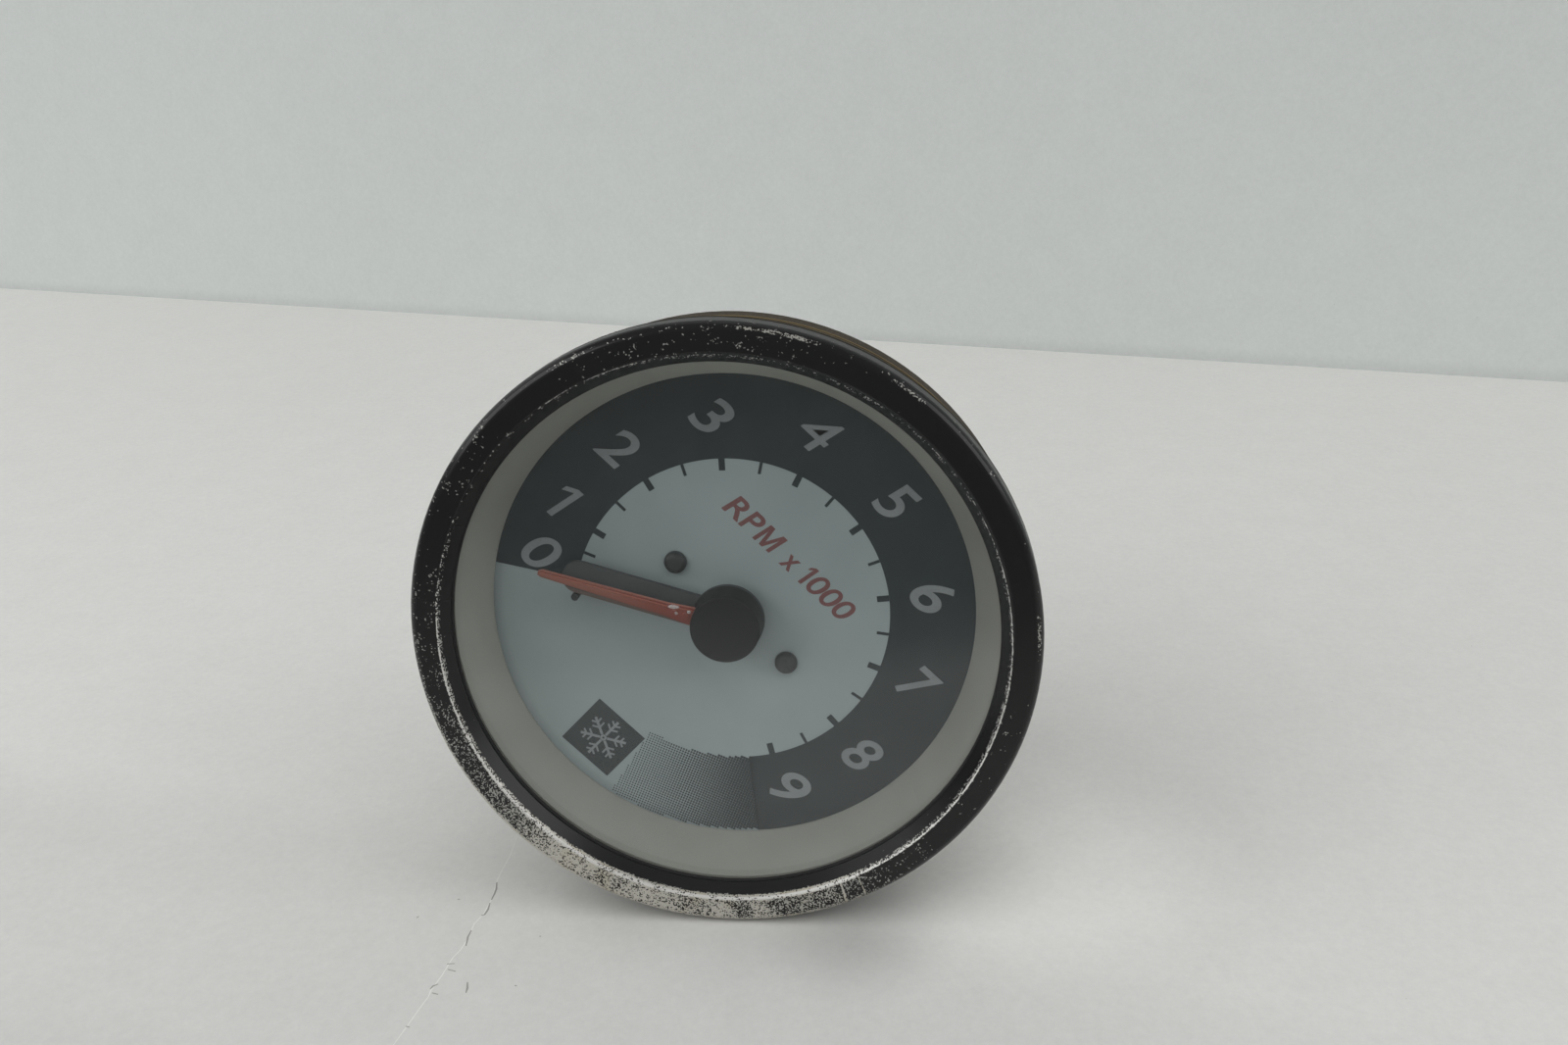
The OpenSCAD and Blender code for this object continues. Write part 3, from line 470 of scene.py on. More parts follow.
def add_light(normal, along, away):
    """A pale ceiling over a dim room, and five soft lamps round the part."""
    g = Graph("world", world=True)
    bpy.context.scene.world = g.owner
    rise = g.dot(g.node("ShaderNodeTexCoord").outputs["Generated"], normal)
    path = g.node("ShaderNodeLightPath")
    level = g.between(g.step(rise, 0.3, 0.9), ROOM, CEILING)
    level = g.between(path.outputs["Is Glossy Ray"], level, ROOM_IN_GLOSS)
    level = g.between(path.outputs["Is Camera Ray"], level, ROOM_SEEN)
    back = g.node("ShaderNodeBackground")
    g.put(back.inputs["Strength"], level)
    g.finish(back)
    area_lamp("front_left", normal * 0.5 - away * 0.6 - along * 0.6, (0.7, 0.6), 2.8)
    area_lamp("right", normal * 0.5 + along * 0.9, (0.7, 0.6), 2.6)
    area_lamp("left", normal * 0.5 - along * 0.9, (0.7, 0.6), 0.8)
    area_lamp("back", normal * 0.8 + away * 0.5, (1.2, 0.6), 0.8)
    area_lamp("front", normal * 0.3 - away * 0.95, (1.2, 0.5), 1.6, mirrored=False)


# Materials

def shades(colour, vary):
    """The colour a little darker and a little lighter."""
    return tuple(c * (1 - vary) for c in colour), tuple(min(1, c * (1 + vary)) for c in colour)


def plastic(name, colour, rough=0.45, grain=0.35, bump=0.15, vary=0.12, gloss=0.5):
    """Moulded plastic: a fine texture, slight blotches and a soft sheen."""
    g = Graph(name)
    fine = g.noise(grain, 4.0, 0.6, shift=2)
    dark, light = shades(colour, vary)
    return g.finish(g.principled(
        Base_Color=g.mix(g.step(g.noise(6), 0.3, 0.7), dark, light),
        Roughness=g.between(g.step(fine, 0.3, 0.7), rough - 0.06, rough + 0.08),
        Specular_IOR_Level=gloss, Normal=g.bump(fine, bump, 0.06)
    ))


def metal(name, colour, rough=0.3, stretch=(1, 1, 1), grain=0.3, bump=0.1, dull=0.5, vary=0.18):
    """Plated or drawn metal: brushed or plain grain, with duller patches."""
    g = Graph(name)
    fine = g.noise(grain, 4.0, 0.6, stretch=stretch)
    blotch = g.noise(4.5, 4.0, 0.6, shift=5)
    dark, _ = shades(colour, vary)
    tone = g.mix(g.step(blotch, 0.35, 0.7), colour, tuple(c * dull for c in colour))
    return g.finish(g.principled(
        Base_Color=g.mix(g.step(fine, 0.35, 0.65), tone, dark),
        Roughness=g.between(g.step(blotch, 0.3, 0.7), rough, rough + 0.18),
        Metallic=1.0, Normal=g.bump(fine, bump, 0.04)
    ))


# The bezel's wear round the gauge, as (degrees, value) stops
WEAR = {
    # The share of bare metal on the flat face
    "face": [
        (0, 0.003), (24, 0.005), (40, 0.0), (108, 0.001), (122, 0.01), (136, 0.014), (150, 0.008), (172, 0.002),
        (185, 0.005), (191, 0.014), (198, 0.006), (214, 0.02), (226, 0.035), (236, 0.06), (241, 0.12), (246, 0.22),
        (252, 0.18), (262, 0.32), (268, 0.42), (273, 0.62), (280, 0.76), (290, 0.6), (297, 0.74), (307, 0.58),
        (313, 0.74), (317, 0.4), (320, 0.78), (325, 0.36), (334, 0.5), (340, 0.24), (347, 0.06), (360, 0.003)
    ],
    # The same in the line along the crest, and the line's half width in millimetres
    "line": [
        (0, 0.8), (44, 0.8), (52, 0.7), (60, 0.5), (75, 0.2), (110, 0.12), (128, 0.2), (148, 0.2), (150, 0.7),
        (157, 0.7), (159, 0.12), (162, 0.12), (164, 0.6), (168, 0.6), (170, 0.05), (198, 0.06), (210, 0.2),
        (217, 0.6), (222, 0.9), (360, 0.9)
    ],
    "line_width": [
        (0, 0.24), (22, 0.24), (34, 0.36), (46, 0.24), (66, 0.16), (110, 0.16), (150, 0.2), (215, 0.16),
        (232, 0.22), (241, 0.3), (262, 0.45), (275, 0.6), (338, 0.6), (343, 0.26), (360, 0.2)
    ],
    # The share in the ragged zone inside that line
    "ragged": [
        (0, 0.25), (34, 0.35), (48, 0.12), (60, 0.05), (112, 0.12), (134, 0.18), (160, 0.05), (180, 0.01),
        (204, 0.05), (222, 0.3), (240, 0.45), (262, 0.6), (276, 0.86), (336, 0.86), (344, 0.45), (360, 0.3)
    ],
    # The share along the outer edge, and in the chips on its shoulder
    "edge": [
        (0, 0.002), (178, 0.006), (222, 0.05), (238, 0.3), (246, 0.6), (258, 0.85), (270, 0.96), (284, 0.96),
        (290, 0.86), (316, 0.84), (330, 0.75), (340, 0.55), (346, 0.25), (349, 0.01), (360, 0.002)
    ],
    "chips": [
        (0, 0.0), (42, 0.0), (45, 0.45), (48, 0.45), (50, 0.0), (93, 0.0), (95, 0.35), (99, 0.35), (101, 0.0),
        (114, 0.02), (118, 0.5), (128, 0.5), (131, 0.04), (157, 0.04), (159, 0.35), (162, 0.35), (164, 0.02),
        (360, 0.0)
    ],
    # How far down the slope the crest's wear lies, in millimetres
    "lower": [
        (0, 0.0), (20, 0.15), (36, 0.35), (46, 0.65), (66, 0.85), (110, 1.1), (140, 1.0), (150, 0.4), (170, 0.2),
        (215, 0.1), (240, 0.0), (360, 0.0)
    ],
}
# The score that a cell of paint has to pass to be bare, by the share of bare metal there
BARE_LIMITS = [
    (0.0, 0.925), (0.003, 0.83), (0.01, 0.8), (0.03, 0.765), (0.06, 0.735), (0.12, 0.6925), (0.2, 0.65),
    (0.35, 0.575), (0.5, 0.5), (0.65, 0.425), (0.8, 0.35), (0.88, 0.3075), (0.94, 0.265), (0.97, 0.235),
    (0.99, 0.2), (1.0, 0.075)
]
SCRATCHES = ((337.9, 0.4), (341.9, 0.16))       # near-radial ones at the end of the bare part: (degrees, width)


def bare_share(g, wear, from_line):
    """The share of bare metal at each point of the bezel."""
    _, y, _ = g.xyz()
    r = g.radius()
    # Paint lasts longest along the middle of the face
    across = g.math("DIVIDE", g.minus(r, CREST_R), BEZEL_R - CREST_R)
    side = g.rest(g.near(across, 0.45, 0.72))
    share = g.between(g.times(side, g.step(wear["face"], 0.3, 0.8)), wear["face"], 0.95)
    slant = g.plus(g.times(g.angle(), 360), g.times(across, 0.7))
    for at, width in SCRATCHES:
        share = g.most(share, g.times(g.near(slant, at, width), 0.95))
    share = g.between(g.step(r, BEZEL_R - 1.0, BEZEL_R - 0.6), share, wear["edge"])
    share = g.most(share, g.times(g.near(r, BEZEL_R - 0.7, 0.3), wear["chips"]))
    share = g.most(share, g.times(g.near(from_line, -0.55, 0.8), wear["ragged"]))
    share = g.most(share, g.times(g.near(from_line, -0.05, wear["line_width"]), wear["line"]))
    # Almost none further down the inner slope, and half as much on the skirt
    share = g.between(g.step(from_line, -1.2, -0.7), 0.001, share)
    return g.times(share, g.between(g.step(y, -3.4, -1.6), 1.0, 0.5))


def bezel_material():
    """Gloss black paint, worn to metal in flecks, along the crest and over most of the bottom."""
    g = Graph("bezel_paint")
    _, y, _ = g.xyz()
    r = g.radius()
    wear = {zone: g.by_angle(stops) for zone, stops in WEAR.items()}
    # How far a point is from the line of the crest's wear: out on the face, or down the slope where it is negative
    from_crest = g.minus(g.minus(r, CREST_R + 0.2), g.minus(y, FACE_Y))
    from_line = g.plus(from_crest, wear["lower"])
    share = bare_share(g, wear, from_line)
    # A cell is bare where its own level and the noise under it pass the limit for that share
    fleck, _ = g.cells(0.165, shift=9)
    lump = g.noise(0.6, 2.0, 0.55, shift=4)
    patch = g.noise(2.2, 2.0, 0.5, shift=17)
    score = g.plus(g.times(fleck, 0.5), g.times(lump, 0.6), g.times(patch, 0.3))
    over = g.minus(g.minus(score, 0.2), g.along(share, BARE_LIMITS))
    bare = g.step(over, -0.004, 0.004)
    # Paint: black, scuffed grey where it is flecked, browner where little of it is left
    dust = g.step(g.noise(2.2, 5.0, 0.65, shift=21), 0.5, 0.85)
    scuffed = g.most(g.times(dust, 0.4), g.times(g.step(wear["face"], 0.004, 0.03), 0.5))
    paint = g.mix(scuffed, (0.012, 0.012, 0.0122), (0.018, 0.018, 0.018))
    paint = g.mix(g.step(share, 0.35, 0.75), paint, (0.022, 0.018, 0.014))
    # It is duller on the skirt, and the skirt's rear edge is painted dark brown and dull as painted shade at the
    # hem
    painted_hem_shade = g.step(y, -1.4, -1.2)
    skirt = g.times(g.step(y, -4.2, -3.4), g.step(r, BEZEL_R - 1.5, BEZEL_R - 1.0))
    paint = g.mix(painted_hem_shade, paint, (0.02, 0.017, 0.012))
    paint_rough = g.most(g.between(scuffed, 0.18, 0.4), g.times(skirt, 0.36))
    paint_rough = g.between(painted_hem_shade, paint_rough, 0.7)
    # Metal: warm pale grey, with faint yellow stains and small dull pits
    grit = g.noise(0.15, 2.0, 0.6, shift=13)
    pits = g.step(grit, 0.54, 0.68)
    stain = g.step(g.noise(3.2, 3.0, 0.5, shift=30), 0.5, 0.7)
    bright = g.mix(stain, (0.56, 0.545, 0.49), (0.52, 0.49, 0.4))
    bright = g.mix(g.times(pits, 0.45), bright, (0.3, 0.27, 0.22))
    bright = g.mix(g.step(share, 0.15, 0.8), (0.37, 0.37, 0.35), bright)
    # The crest is rubbed bare, and its metal is painted brighter than the rest as a painted highlight along it
    rubbed_crest_and_highlight = g.times(bare, g.near(from_line, -0.1, 0.5))
    height = g.minus(g.times(grit, g.times(bare, 0.5)), bare)
    return g.finish(g.principled(
        Base_Color=g.mix(rubbed_crest_and_highlight, g.mix(bare, paint, bright), (0.76, 0.75, 0.72)),
        Roughness=g.between(bare, paint_rough, 0.44), Metallic=g.times(bare, 0.5),
        Specular_IOR_Level=g.between(painted_hem_shade, g.between(skirt, 0.3, 0.2), 0.05),
        Normal=g.bump(height, 0.2, 0.04)
    ))


def case_material():
    """Drawn steel with an olive-brown chromate, with painted highlights as thin bright lines along the rolled
    line's edges.
    """
    g = Graph("chromated_steel")
    _, y, _ = g.xyz()
    streak = g.noise(1.1, 4.0, 0.6, stretch=(7, 0.45, 7))
    cloud = g.noise(9, 4.0, 0.6, shift=3)
    fine = g.noise(0.3, 4.0, 0.6, shift=8)
    rusty = g.step(g.noise(2.6, 5.0, 0.65, shift=15), 0.57, 0.66)
    tone = g.mix(g.step(cloud, 0.35, 0.68), srgb(66, 58, 44), srgb(55, 48, 37))
    tone = g.mix(g.times(g.step(streak, 0.5, 0.72), 0.4), tone, srgb(82, 70, 50))
    tone = g.mix(g.times(rusty, 0.5), tone, srgb(52, 40, 30))
    on_bell = g.step(g.radius(), BODY_R + 3.5, BODY_R + 4.5)
    # Painted highlights: thin bright lines along the edges of the rolled line, on the bell
    line = g.most(g.near(y, GROOVE_Y - 0.6, 0.14), g.near(y, GROOVE_Y + 0.6, 0.12))
    tone = g.mix(g.times(g.times(line, on_bell), 0.7), tone, srgb(128, 112, 82))
    behind = g.times(g.step(y, GROOVE_Y + 1.5, GROOVE_Y + 3.5), on_bell)
    tone = g.mix(g.times(behind, 0.6), tone, srgb(56, 45, 37))
    return g.finish(g.principled(
        Base_Color=tone, Roughness=g.between(g.step(fine, 0.35, 0.65), 0.5, 0.65), Specular_IOR_Level=0.1,
        Normal=g.bump(g.plus(g.times(streak, 0.5), g.times(fine, 0.5)), 0.25, 0.05)
    ))


def glass_material(name, tint, rough=0.0, haze=0.0):
    """Clear glass with true refraction, through which light and shadow still reach what is behind it."""
    g = Graph(name)
    smear = g.noise(11, 4.0, 0.55, stretch=(1.6, 1, 0.8))
    shine = g.between(g.step(smear, 0.45, 0.75), rough, rough + 0.05)
    glass = g.principled(Base_Color=tint, Roughness=shine, IOR=1.5, Transmission_Weight=1.0)
    film = g.node("ShaderNodeBsdfDiffuse")
    g.put(film.inputs["Color"], (0.62, 0.66, 0.66))
    hazy = g.mix_shaders(g.between(g.step(smear, 0.35, 0.75), haze * 0.6, haze * 1.4), glass, film)
    clear = g.node("ShaderNodeBsdfTransparent")
    g.put(clear.inputs["Color"], (0.93, 0.945, 0.945))
    path = g.node("ShaderNodeLightPath")
    through = g.most(path.outputs["Is Shadow Ray"], path.outputs["Is Diffuse Ray"])
    return g.finish(g.mix_shaders(through, hazy, clear))


def shade_material():
    """Warm grey moulding, satin, with a fine grain, and painted light round the dial's upper left."""
    g = Graph("shade_grey")
    fine = g.noise(0.3, 3.0, 0.6, shift=2)
    tone = g.mix(g.step(g.noise(14), 0.3, 0.7), srgb(133, 132, 125), srgb(124, 123, 116))
    # Painted light: paler round the dial's upper left, standing in for light that falls there
    pale = g.by_angle([
        (0, 0.1), (65, 0.15), (90, 0.57), (135, 0.92), (195, 0.3), (225, 0.5), (255, 0.24), (300, 0.2), (360, 0.1)
    ])
    return g.finish(g.principled(
        Base_Color=g.mix(pale, tone, srgb(187, 186, 176)), Roughness=g.between(fine, 0.4, 0.5),
        Normal=g.bump(fine, 0.08, 0.05)
    ))


def dial_material():
    """Translucent white plastic, bluish, with painted shade towards its edge."""
    g = Graph("dial_white")
    fine = g.noise(0.25, 3.0, 0.6, shift=2)
    tone = g.mix(g.step(g.noise(18), 0.3, 0.7), srgb(161, 171, 171), srgb(153, 163, 163))
    # Painted shade: darker towards the edge, beside the shade ring
    tone = g.mix(g.times(g.step(g.radius(), 33.2, 35.6), 0.55), tone, srgb(95, 107, 108))
    return g.finish(g.principled(
        Base_Color=tone, Roughness=g.between(fine, 0.42, 0.52), Specular_IOR_Level=0.3,
        Normal=g.bump(fine, 0.05, 0.03)
    ))


def ink(name, colour, rough=0.5, vary=0.1):
    """Screen-printed ink: a slightly uneven film."""
    g = Graph(name)
    fine = g.noise(0.2, 3.0, 0.6)
    level = g.plus(g.times(fine, 0.5), g.times(g.noise(5, shift=6), 0.5))
    dark, light = shades(colour, vary)
    return g.finish(g.principled(
        Base_Color=g.mix(g.step(level, 0.35, 0.65), dark, light), Roughness=rough, Specular_IOR_Level=0.3,
        Normal=g.bump(fine, 0.1, 0.02)
    ))


def pointer_material():
    """Translucent red moulding, deeper red by the cap, with a browner face and edges painted brighter as painted
    light through the plastic.
    """
    g = Graph("pointer_red")
    fine = g.noise(0.4, 3.0, 0.6)
    tone = g.mix(g.step(g.radius(), 7, 20), (0.2, 0.043, 0.03), (0.255, 0.1, 0.073))
    tone = g.mix(g.times(g.step(fine, 0.4, 0.7), 0.3), tone, (0.18, 0.075, 0.056))
    # Painted light: the blade's sides and edges are brighter than its face, as light coming through the plastic
    front = g.dot(g.node("ShaderNodeNewGeometry").outputs["True Normal"], (0, -1, 0))
    tone = g.mix(g.step(front, 0.5, 0.95), (0.43, 0.17, 0.13), tone)
    return g.finish(g.principled(
        Base_Color=tone, Roughness=0.3, Subsurface_Weight=0.2, Subsurface_Scale=0.5 * MM,
        Normal=g.bump(fine, 0.1, 0.03)
    ))


def carrier_material():
    """Dark grey moulding. The arm's lower edge takes a little of the red blade's light."""
    g = Graph("carrier_grey")
    x, _, z = g.xyz()
    fine = g.noise(0.35, 4.0, 0.6, shift=2)
    tone = g.mix(g.step(g.noise(6), 0.3, 0.7), (0.047, 0.051, 0.052), (0.058, 0.062, 0.063))
    a = math.radians(POINTER_REST)
    across = g.minus(g.times(z, math.cos(a)), g.times(x, math.sin(a)))
    tone = g.mix(g.step(across, 1.7, 1.9), tone, (0.13, 0.095, 0.08))
    return g.finish(g.principled(Base_Color=tone, Roughness=0.6, Normal=g.bump(fine, 0.15, 0.06)))


# The dial's print

INK_T = 0.03        # thickness of a layer of ink
SLANT = 0.21        # how far a letter leans for each unit of its height
CAP_H = 0.7         # the height of the figures and capitals in a mesh of letters
LETTER_HALF = 0.01  # half the thickness of such a mesh


def at_angle(r, degrees):
    """The point (x, z) at a distance and a direction from the gauge axis."""
    a = math.radians(degrees)
    return (r * math.cos(a), r * math.sin(a))


def turned(point, degrees, centre=(0, 0)):
    """A point (x, z), turned about the origin, which then moves to the centre."""
    c, s = math.cos(math.radians(degrees)), math.sin(math.radians(degrees))
    x, z = point
    return (centre[0] + x * c - z * s, centre[1] + x * s + z * c)


def mounted(name, mesh, material, body="gauge"):
    """A finished piece that rides a body, with its normals made consistent."""
    bm = bmesh.new()
    bm.from_mesh(mesh)
    bmesh.ops.recalc_face_normals(bm, faces=bm.faces)
    bm.to_mesh(mesh)
    bm.free()
    dressed(mesh, material)
    obj = placed(name, mesh)
    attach(obj, body)


def printed(name, material, shapes, layer=0):
    """Thin closed layers of ink. A shape is a pair of rows of points, which run side by side."""
    points, faces = [], []
    back, front = DIAL_Y - layer * INK_T, DIAL_Y - (layer + 1) * INK_T
    for outer, inner in shapes:
        n, base = len(outer), len(points)
        for y in (front, back):
            for row in (outer, inner):
                points += [(x * MM, y * MM, z * MM) for x, z in row]
        # First points of the front's outer and inner rows, and of the back's
        fo, fi, bo, bi = base, base + n, base + 2 * n, base + 3 * n
        for i in range(n - 1):
            faces.append((fo + i, fo + i + 1, fi + i + 1, fi + i))
            faces.append((bo + i, bi + i, bi + i + 1, bo + i + 1))
            faces.append((fo + i, bo + i, bo + i + 1, fo + i + 1))
            faces.append((fi + i, fi + i + 1, bi + i + 1, bi + i))
        faces.append((fo, fi, bi, bo))
        faces.append((fo + n - 1, bo + n - 1, bi + n - 1, fi + n - 1))
    mesh = bpy.data.meshes.new(name)
    mesh.from_pydata(points, [], faces)
    mounted(name, mesh, material)


def sector(r_out, r_in, a0, a1, steps):
    """A shape for print: a part of a ring, between two radii and two angles in degrees."""
    angles = [a0 + (a1 - a0) * i / steps for i in range(steps + 1)]
    return ([at_angle(r_out, a) for a in angles], [at_angle(r_in, a) for a in angles])


def tile(half_w, half_h, corner, centre, turn):
    """A shape for print: a small rectangle with cut corners."""
    x, z = half_w - corner, half_h - corner
    outer = [(-half_w, -z), (-x, -half_h), (x, -half_h), (half_w, -z)]
    inner = [(x, -z) for x, z in outer]
    return [[turned(point, turn, centre) for point in row] for row in (outer, inner)]


def glyph_mesh(text, bold):
    """The flat outline of a slanted text as a mesh, one unit per unit of its size."""
    curve = bpy.data.curves.new("glyph", "FONT")
    curve.body = text
    curve.size = 1
    curve.offset = bold
    curve.shear = SLANT
    curve.extrude = LETTER_HALF
    obj = placed("glyph", curve)
    mesh = bpy.data.meshes.new_from_object(obj.evaluated_get(bpy.context.evaluated_depsgraph_get()))
    bpy.data.objects.remove(obj)
    bpy.data.curves.remove(curve)
    return mesh


def outline_mesh(outline):
    """A slanted flat outline, as thick as a letter."""
    bm = bmesh.new()
    front, back = (
        [bm.verts.new((x + y * SLANT, y, depth)) for x, y in outline] for depth in (LETTER_HALF, -LETTER_HALF)
    )
    bm.faces.new(front)
    bm.faces.new(list(reversed(back)))
    for i in range(len(outline)):
        j = (i + 1) % len(outline)
        bm.faces.new((front[i], back[i], back[j], front[j]))
    return mesh_from(bm, "glyph")


def one_mesh(stem=0.11, flag=0.17, thick=0.1):
    """A figure one with a flag, which the built-in letters lack: a stem and a sloping stroke."""
    low_end = CAP_H - 0.1
    return outline_mesh([
        (0, 0), (stem, 0), (stem, CAP_H), (0, CAP_H), (-flag, low_end), (-flag, low_end - thick),
        (0, CAP_H - thick)
    ])


def m_mesh():
    """A bold M, whose diagonals reach the line."""
    width, stroke, shoulder, notch = 0.68, 0.125, 0.49, 0.2
    mid, half, corner = width / 2, stroke / 2, stroke * 1.4
    return outline_mesh([
        (0, 0), (stroke, 0), (stroke, shoulder), (mid - half, 0), (mid + half, 0), (width - stroke, shoulder),
        (width - stroke, 0), (width, 0), (width, CAP_H), (width - corner, CAP_H), (mid, notch), (corner, CAP_H),
        (0, CAP_H)
    ])


def lettered(name, material, words, layer=0):
    """Letters on the dial. A word is (mesh, centre, height, width), in millimetres."""
    bm = bmesh.new()
    mid = DIAL_Y - (layer + 0.5) * INK_T
    for mesh, centre, height, width in words:
        xs = [v.co.x for v in mesh.vertices]
        ys = [v.co.y for v in mesh.vertices]
        deep = max(v.co.z for v in mesh.vertices)
        tall, wide = height / (max(ys) - min(ys)), width / (max(xs) - min(xs))
        cx, cy = (max(xs) + min(xs)) / 2, (max(ys) + min(ys)) / 2
        for v in mesh.vertices:
            x, y, z = v.co
            v.co = (
                (centre[0] + (x - cx) * wide) * MM,
                (mid - z / deep * INK_T / 2) * MM,
                (centre[1] + (y - cy) * tall) * MM,
            )
        bm.from_mesh(mesh)
        bpy.data.meshes.remove(mesh)
    bmesh.ops.remove_doubles(bm, verts=bm.verts, dist=1e-7)
    mounted(name, mesh_from(bm, name), material)


# The angles of the long marks, 0 to 9, and of the short mark after 0, which isn't midway
TICKS = [212.2, 192.1, 164.6, 135.8, 107.4, 79.1, 50.4, 22.8, -4.8, -32.1]
FIRST_SHORT = 201.4
MARK_HALF, LONG_HALF_W, SHORT_HALF_W = 0.86, 0.45, 0.22     # half the length of a mark, and half the widths
BAND_R = 22.9
MARK_R = BAND_R - 0.87  # the middle of a mark
BAND_EDGE_R = DIAL_OPEN_R - 0.03
BAND_STEPS = 180
CUT = 0.02              # the cut corners of the marks and the plaque
# The halftone: where it starts and ends in degrees, and how far it runs under the band there
FADE_START, FADE_END = -41.0, -79.5
OVERLAP = 0.4
# The pitch and turn of its squares, and how far from the dial's edge their middles stay
PITCH, SCREEN = 0.4, 21.5
DOT_MARGIN = 0.2
# The share of ink at its end, how much more there is at its start, and the power by which that falls
INK_END, INK_MORE, INK_POWER = 0.26, 0.69, 1.2
# The middle of each figure, and the sizes of the figures and of the legend's letters
FIGURES = [
    (-25.8, -12.8), (-28.4, -4.7), (-28.1, 7.0), (-21.5, 19.6), (-9.3, 28.2), (5.3, 28.6), (18.5, 22.2),
    (26.9, 11.0), (28.8, -2.7), (25.3, -14.4)
]
FIGURE_H, FIGURE_W, ONE_W = 5.75, 4.7, 2.85
LEGEND_H, X_H = 3.3, 2.25
FIGURE_BOLD, FOUR_BOLD, LEGEND_BOLD = 0.014, 0.004, 0.018
# The plaque's middle, and half its width and height
PLAQUE, PLAQUE_HALF = (-0.2, -28.5), (4.55, 4.4)
PLAQUE_GAP, PLAQUE_TOP = 4.6, -24.1     # the halftone stays this far out of the plaque's middle, below its top


def add_band(dark):
    """The dark band under the figures, with its marks."""
    printed("dial_band", dark, [sector(BAND_EDGE_R, BAND_R, TICKS[0], FADE_START, BAND_STEPS)])
    marks = []
    for i, a in enumerate(TICKS):
        if i:
            marks.append((a, LONG_HALF_W))
        if i + 1 < len(TICKS):
            marks.append(((a + TICKS[i + 1]) / 2 if i else FIRST_SHORT, SHORT_HALF_W))
    printed("dial_ticks", dark, [tile(MARK_HALF, half, CUT, at_angle(MARK_R, a), a) for a, half in marks])


def add_halftone(dark):
    """A halftone of small squares, which thins the band out below the last figure."""
    dots = []
    reach = int(BAND_EDGE_R / PITCH)
    for i in range(-reach, reach):
        for j in range(-reach, reach):
            x, z = turned((i * PITCH, j * PITCH), SCREEN)
            r, a = math.hypot(x, z), math.degrees(math.atan2(z, x))
            if not (BAND_R < r < BAND_EDGE_R - DOT_MARGIN and FADE_END < a < FADE_START + OVERLAP):
                continue
            gone = max(0, FADE_START - a) / (FADE_START - FADE_END)
            half = PITCH / 2 * math.sqrt(INK_END + INK_MORE * (1 - gone) ** INK_POWER)
            if abs(x - PLAQUE[0]) < PLAQUE_GAP + half and z < PLAQUE_TOP + half:
                continue
            # The squares grow rounder as they shrink
            dots.append(tile(half, half, half * (0.1 + 0.4 * gone), (x, z), SCREEN))
    printed("dial_halftone", dark, dots)


def add_words(light, red):
    """The figures on the band, and the red legend."""
    figures = [
        (one_mesh(), centre, FIGURE_H, ONE_W) if digit == 1
        else (glyph_mesh(str(digit), FOUR_BOLD if digit == 4 else FIGURE_BOLD), centre, FIGURE_H, FIGURE_W)
        for digit, centre in enumerate(FIGURES)
    ]
    lettered("dial_figures", light, figures, layer=1)
    words = [
        (glyph_mesh("R", LEGEND_BOLD), (-10.05, 12.25), LEGEND_H, 3.1),
        (glyph_mesh("P", LEGEND_BOLD), (-6.95, 12.2), LEGEND_H, 2.85),
        (m_mesh(), (-3.55, 12.1), LEGEND_H, 3.95),
        (glyph_mesh("x", LEGEND_BOLD), (0.9, 11.45), X_H, 2.35),
        (one_mesh(0.15, 0.14, 0.11), (4.1, 11.9), LEGEND_H, 1.3)
    ]
    for i in range(3):
        words.append((glyph_mesh("0", FIGURE_BOLD), (6.15 + 2.55 * i, 11.85 - 0.05 * i), LEGEND_H, 2.65))
    lettered("dial_legend", red, words)


def add_crystal(dark, light):
    """A plain snow crystal on a dark square, which stands where the dial has a badge."""
    printed("dial_plaque", dark, [tile(*PLAQUE_HALF, CUT, PLAQUE, 0)])
    start, end, arm_half, twig_half, twig_lean = 0.55, 3.5, 0.2, 0.14, 58
    bars = []
    for arm in range(6):
        a = arm * 60 + 90
        bars.append(tile((end - start) / 2, arm_half, 0.05, turned(((start + end) / 2, 0), a, PLAQUE), a))
        for out, length in ((1.7, 0.95), (2.6, 0.75)):
            root = turned((out, 0), a, PLAQUE)
            for lean in (a - twig_lean, a + twig_lean):
                middle = turned((length / 2 + 0.16, 0), lean, root)
                bars.append(tile(length / 2, twig_half, 0.04, middle, lean))
    bars.append([[(x + PLAQUE[0], z + PLAQUE[1]) for x, z in row] for row in sector(0.5, 0.18, 0, 360, 24)])
    printed("dial_crystal", light, bars, layer=1)


def add_print():
    """All that is printed on the dial."""
    dark = ink("ink_dark", (0.019, 0.027, 0.029))
    light = ink("ink_light", (0.25, 0.265, 0.27))
    red = ink("ink_red", (0.2, 0.085, 0.083))
    add_band(dark)
    add_halftone(dark)
    add_words(light, red)
    add_crystal(dark, light)


# Drops of clear lacquer on the pointer's blade: pixel of the photograph, length, width and height in millimetres
DROPS = ((688, 617.6, 1.65, 0.6, 0.2), (690.6, 624.2, 0.5, 0.5, 0.14), (703.6, 623, 0.6, 0.5, 0.16))
DROP_TURN = 40          # the direction of a drop's long side, in degrees
DROP_RINGS, DROP_SIDES = 5, 20


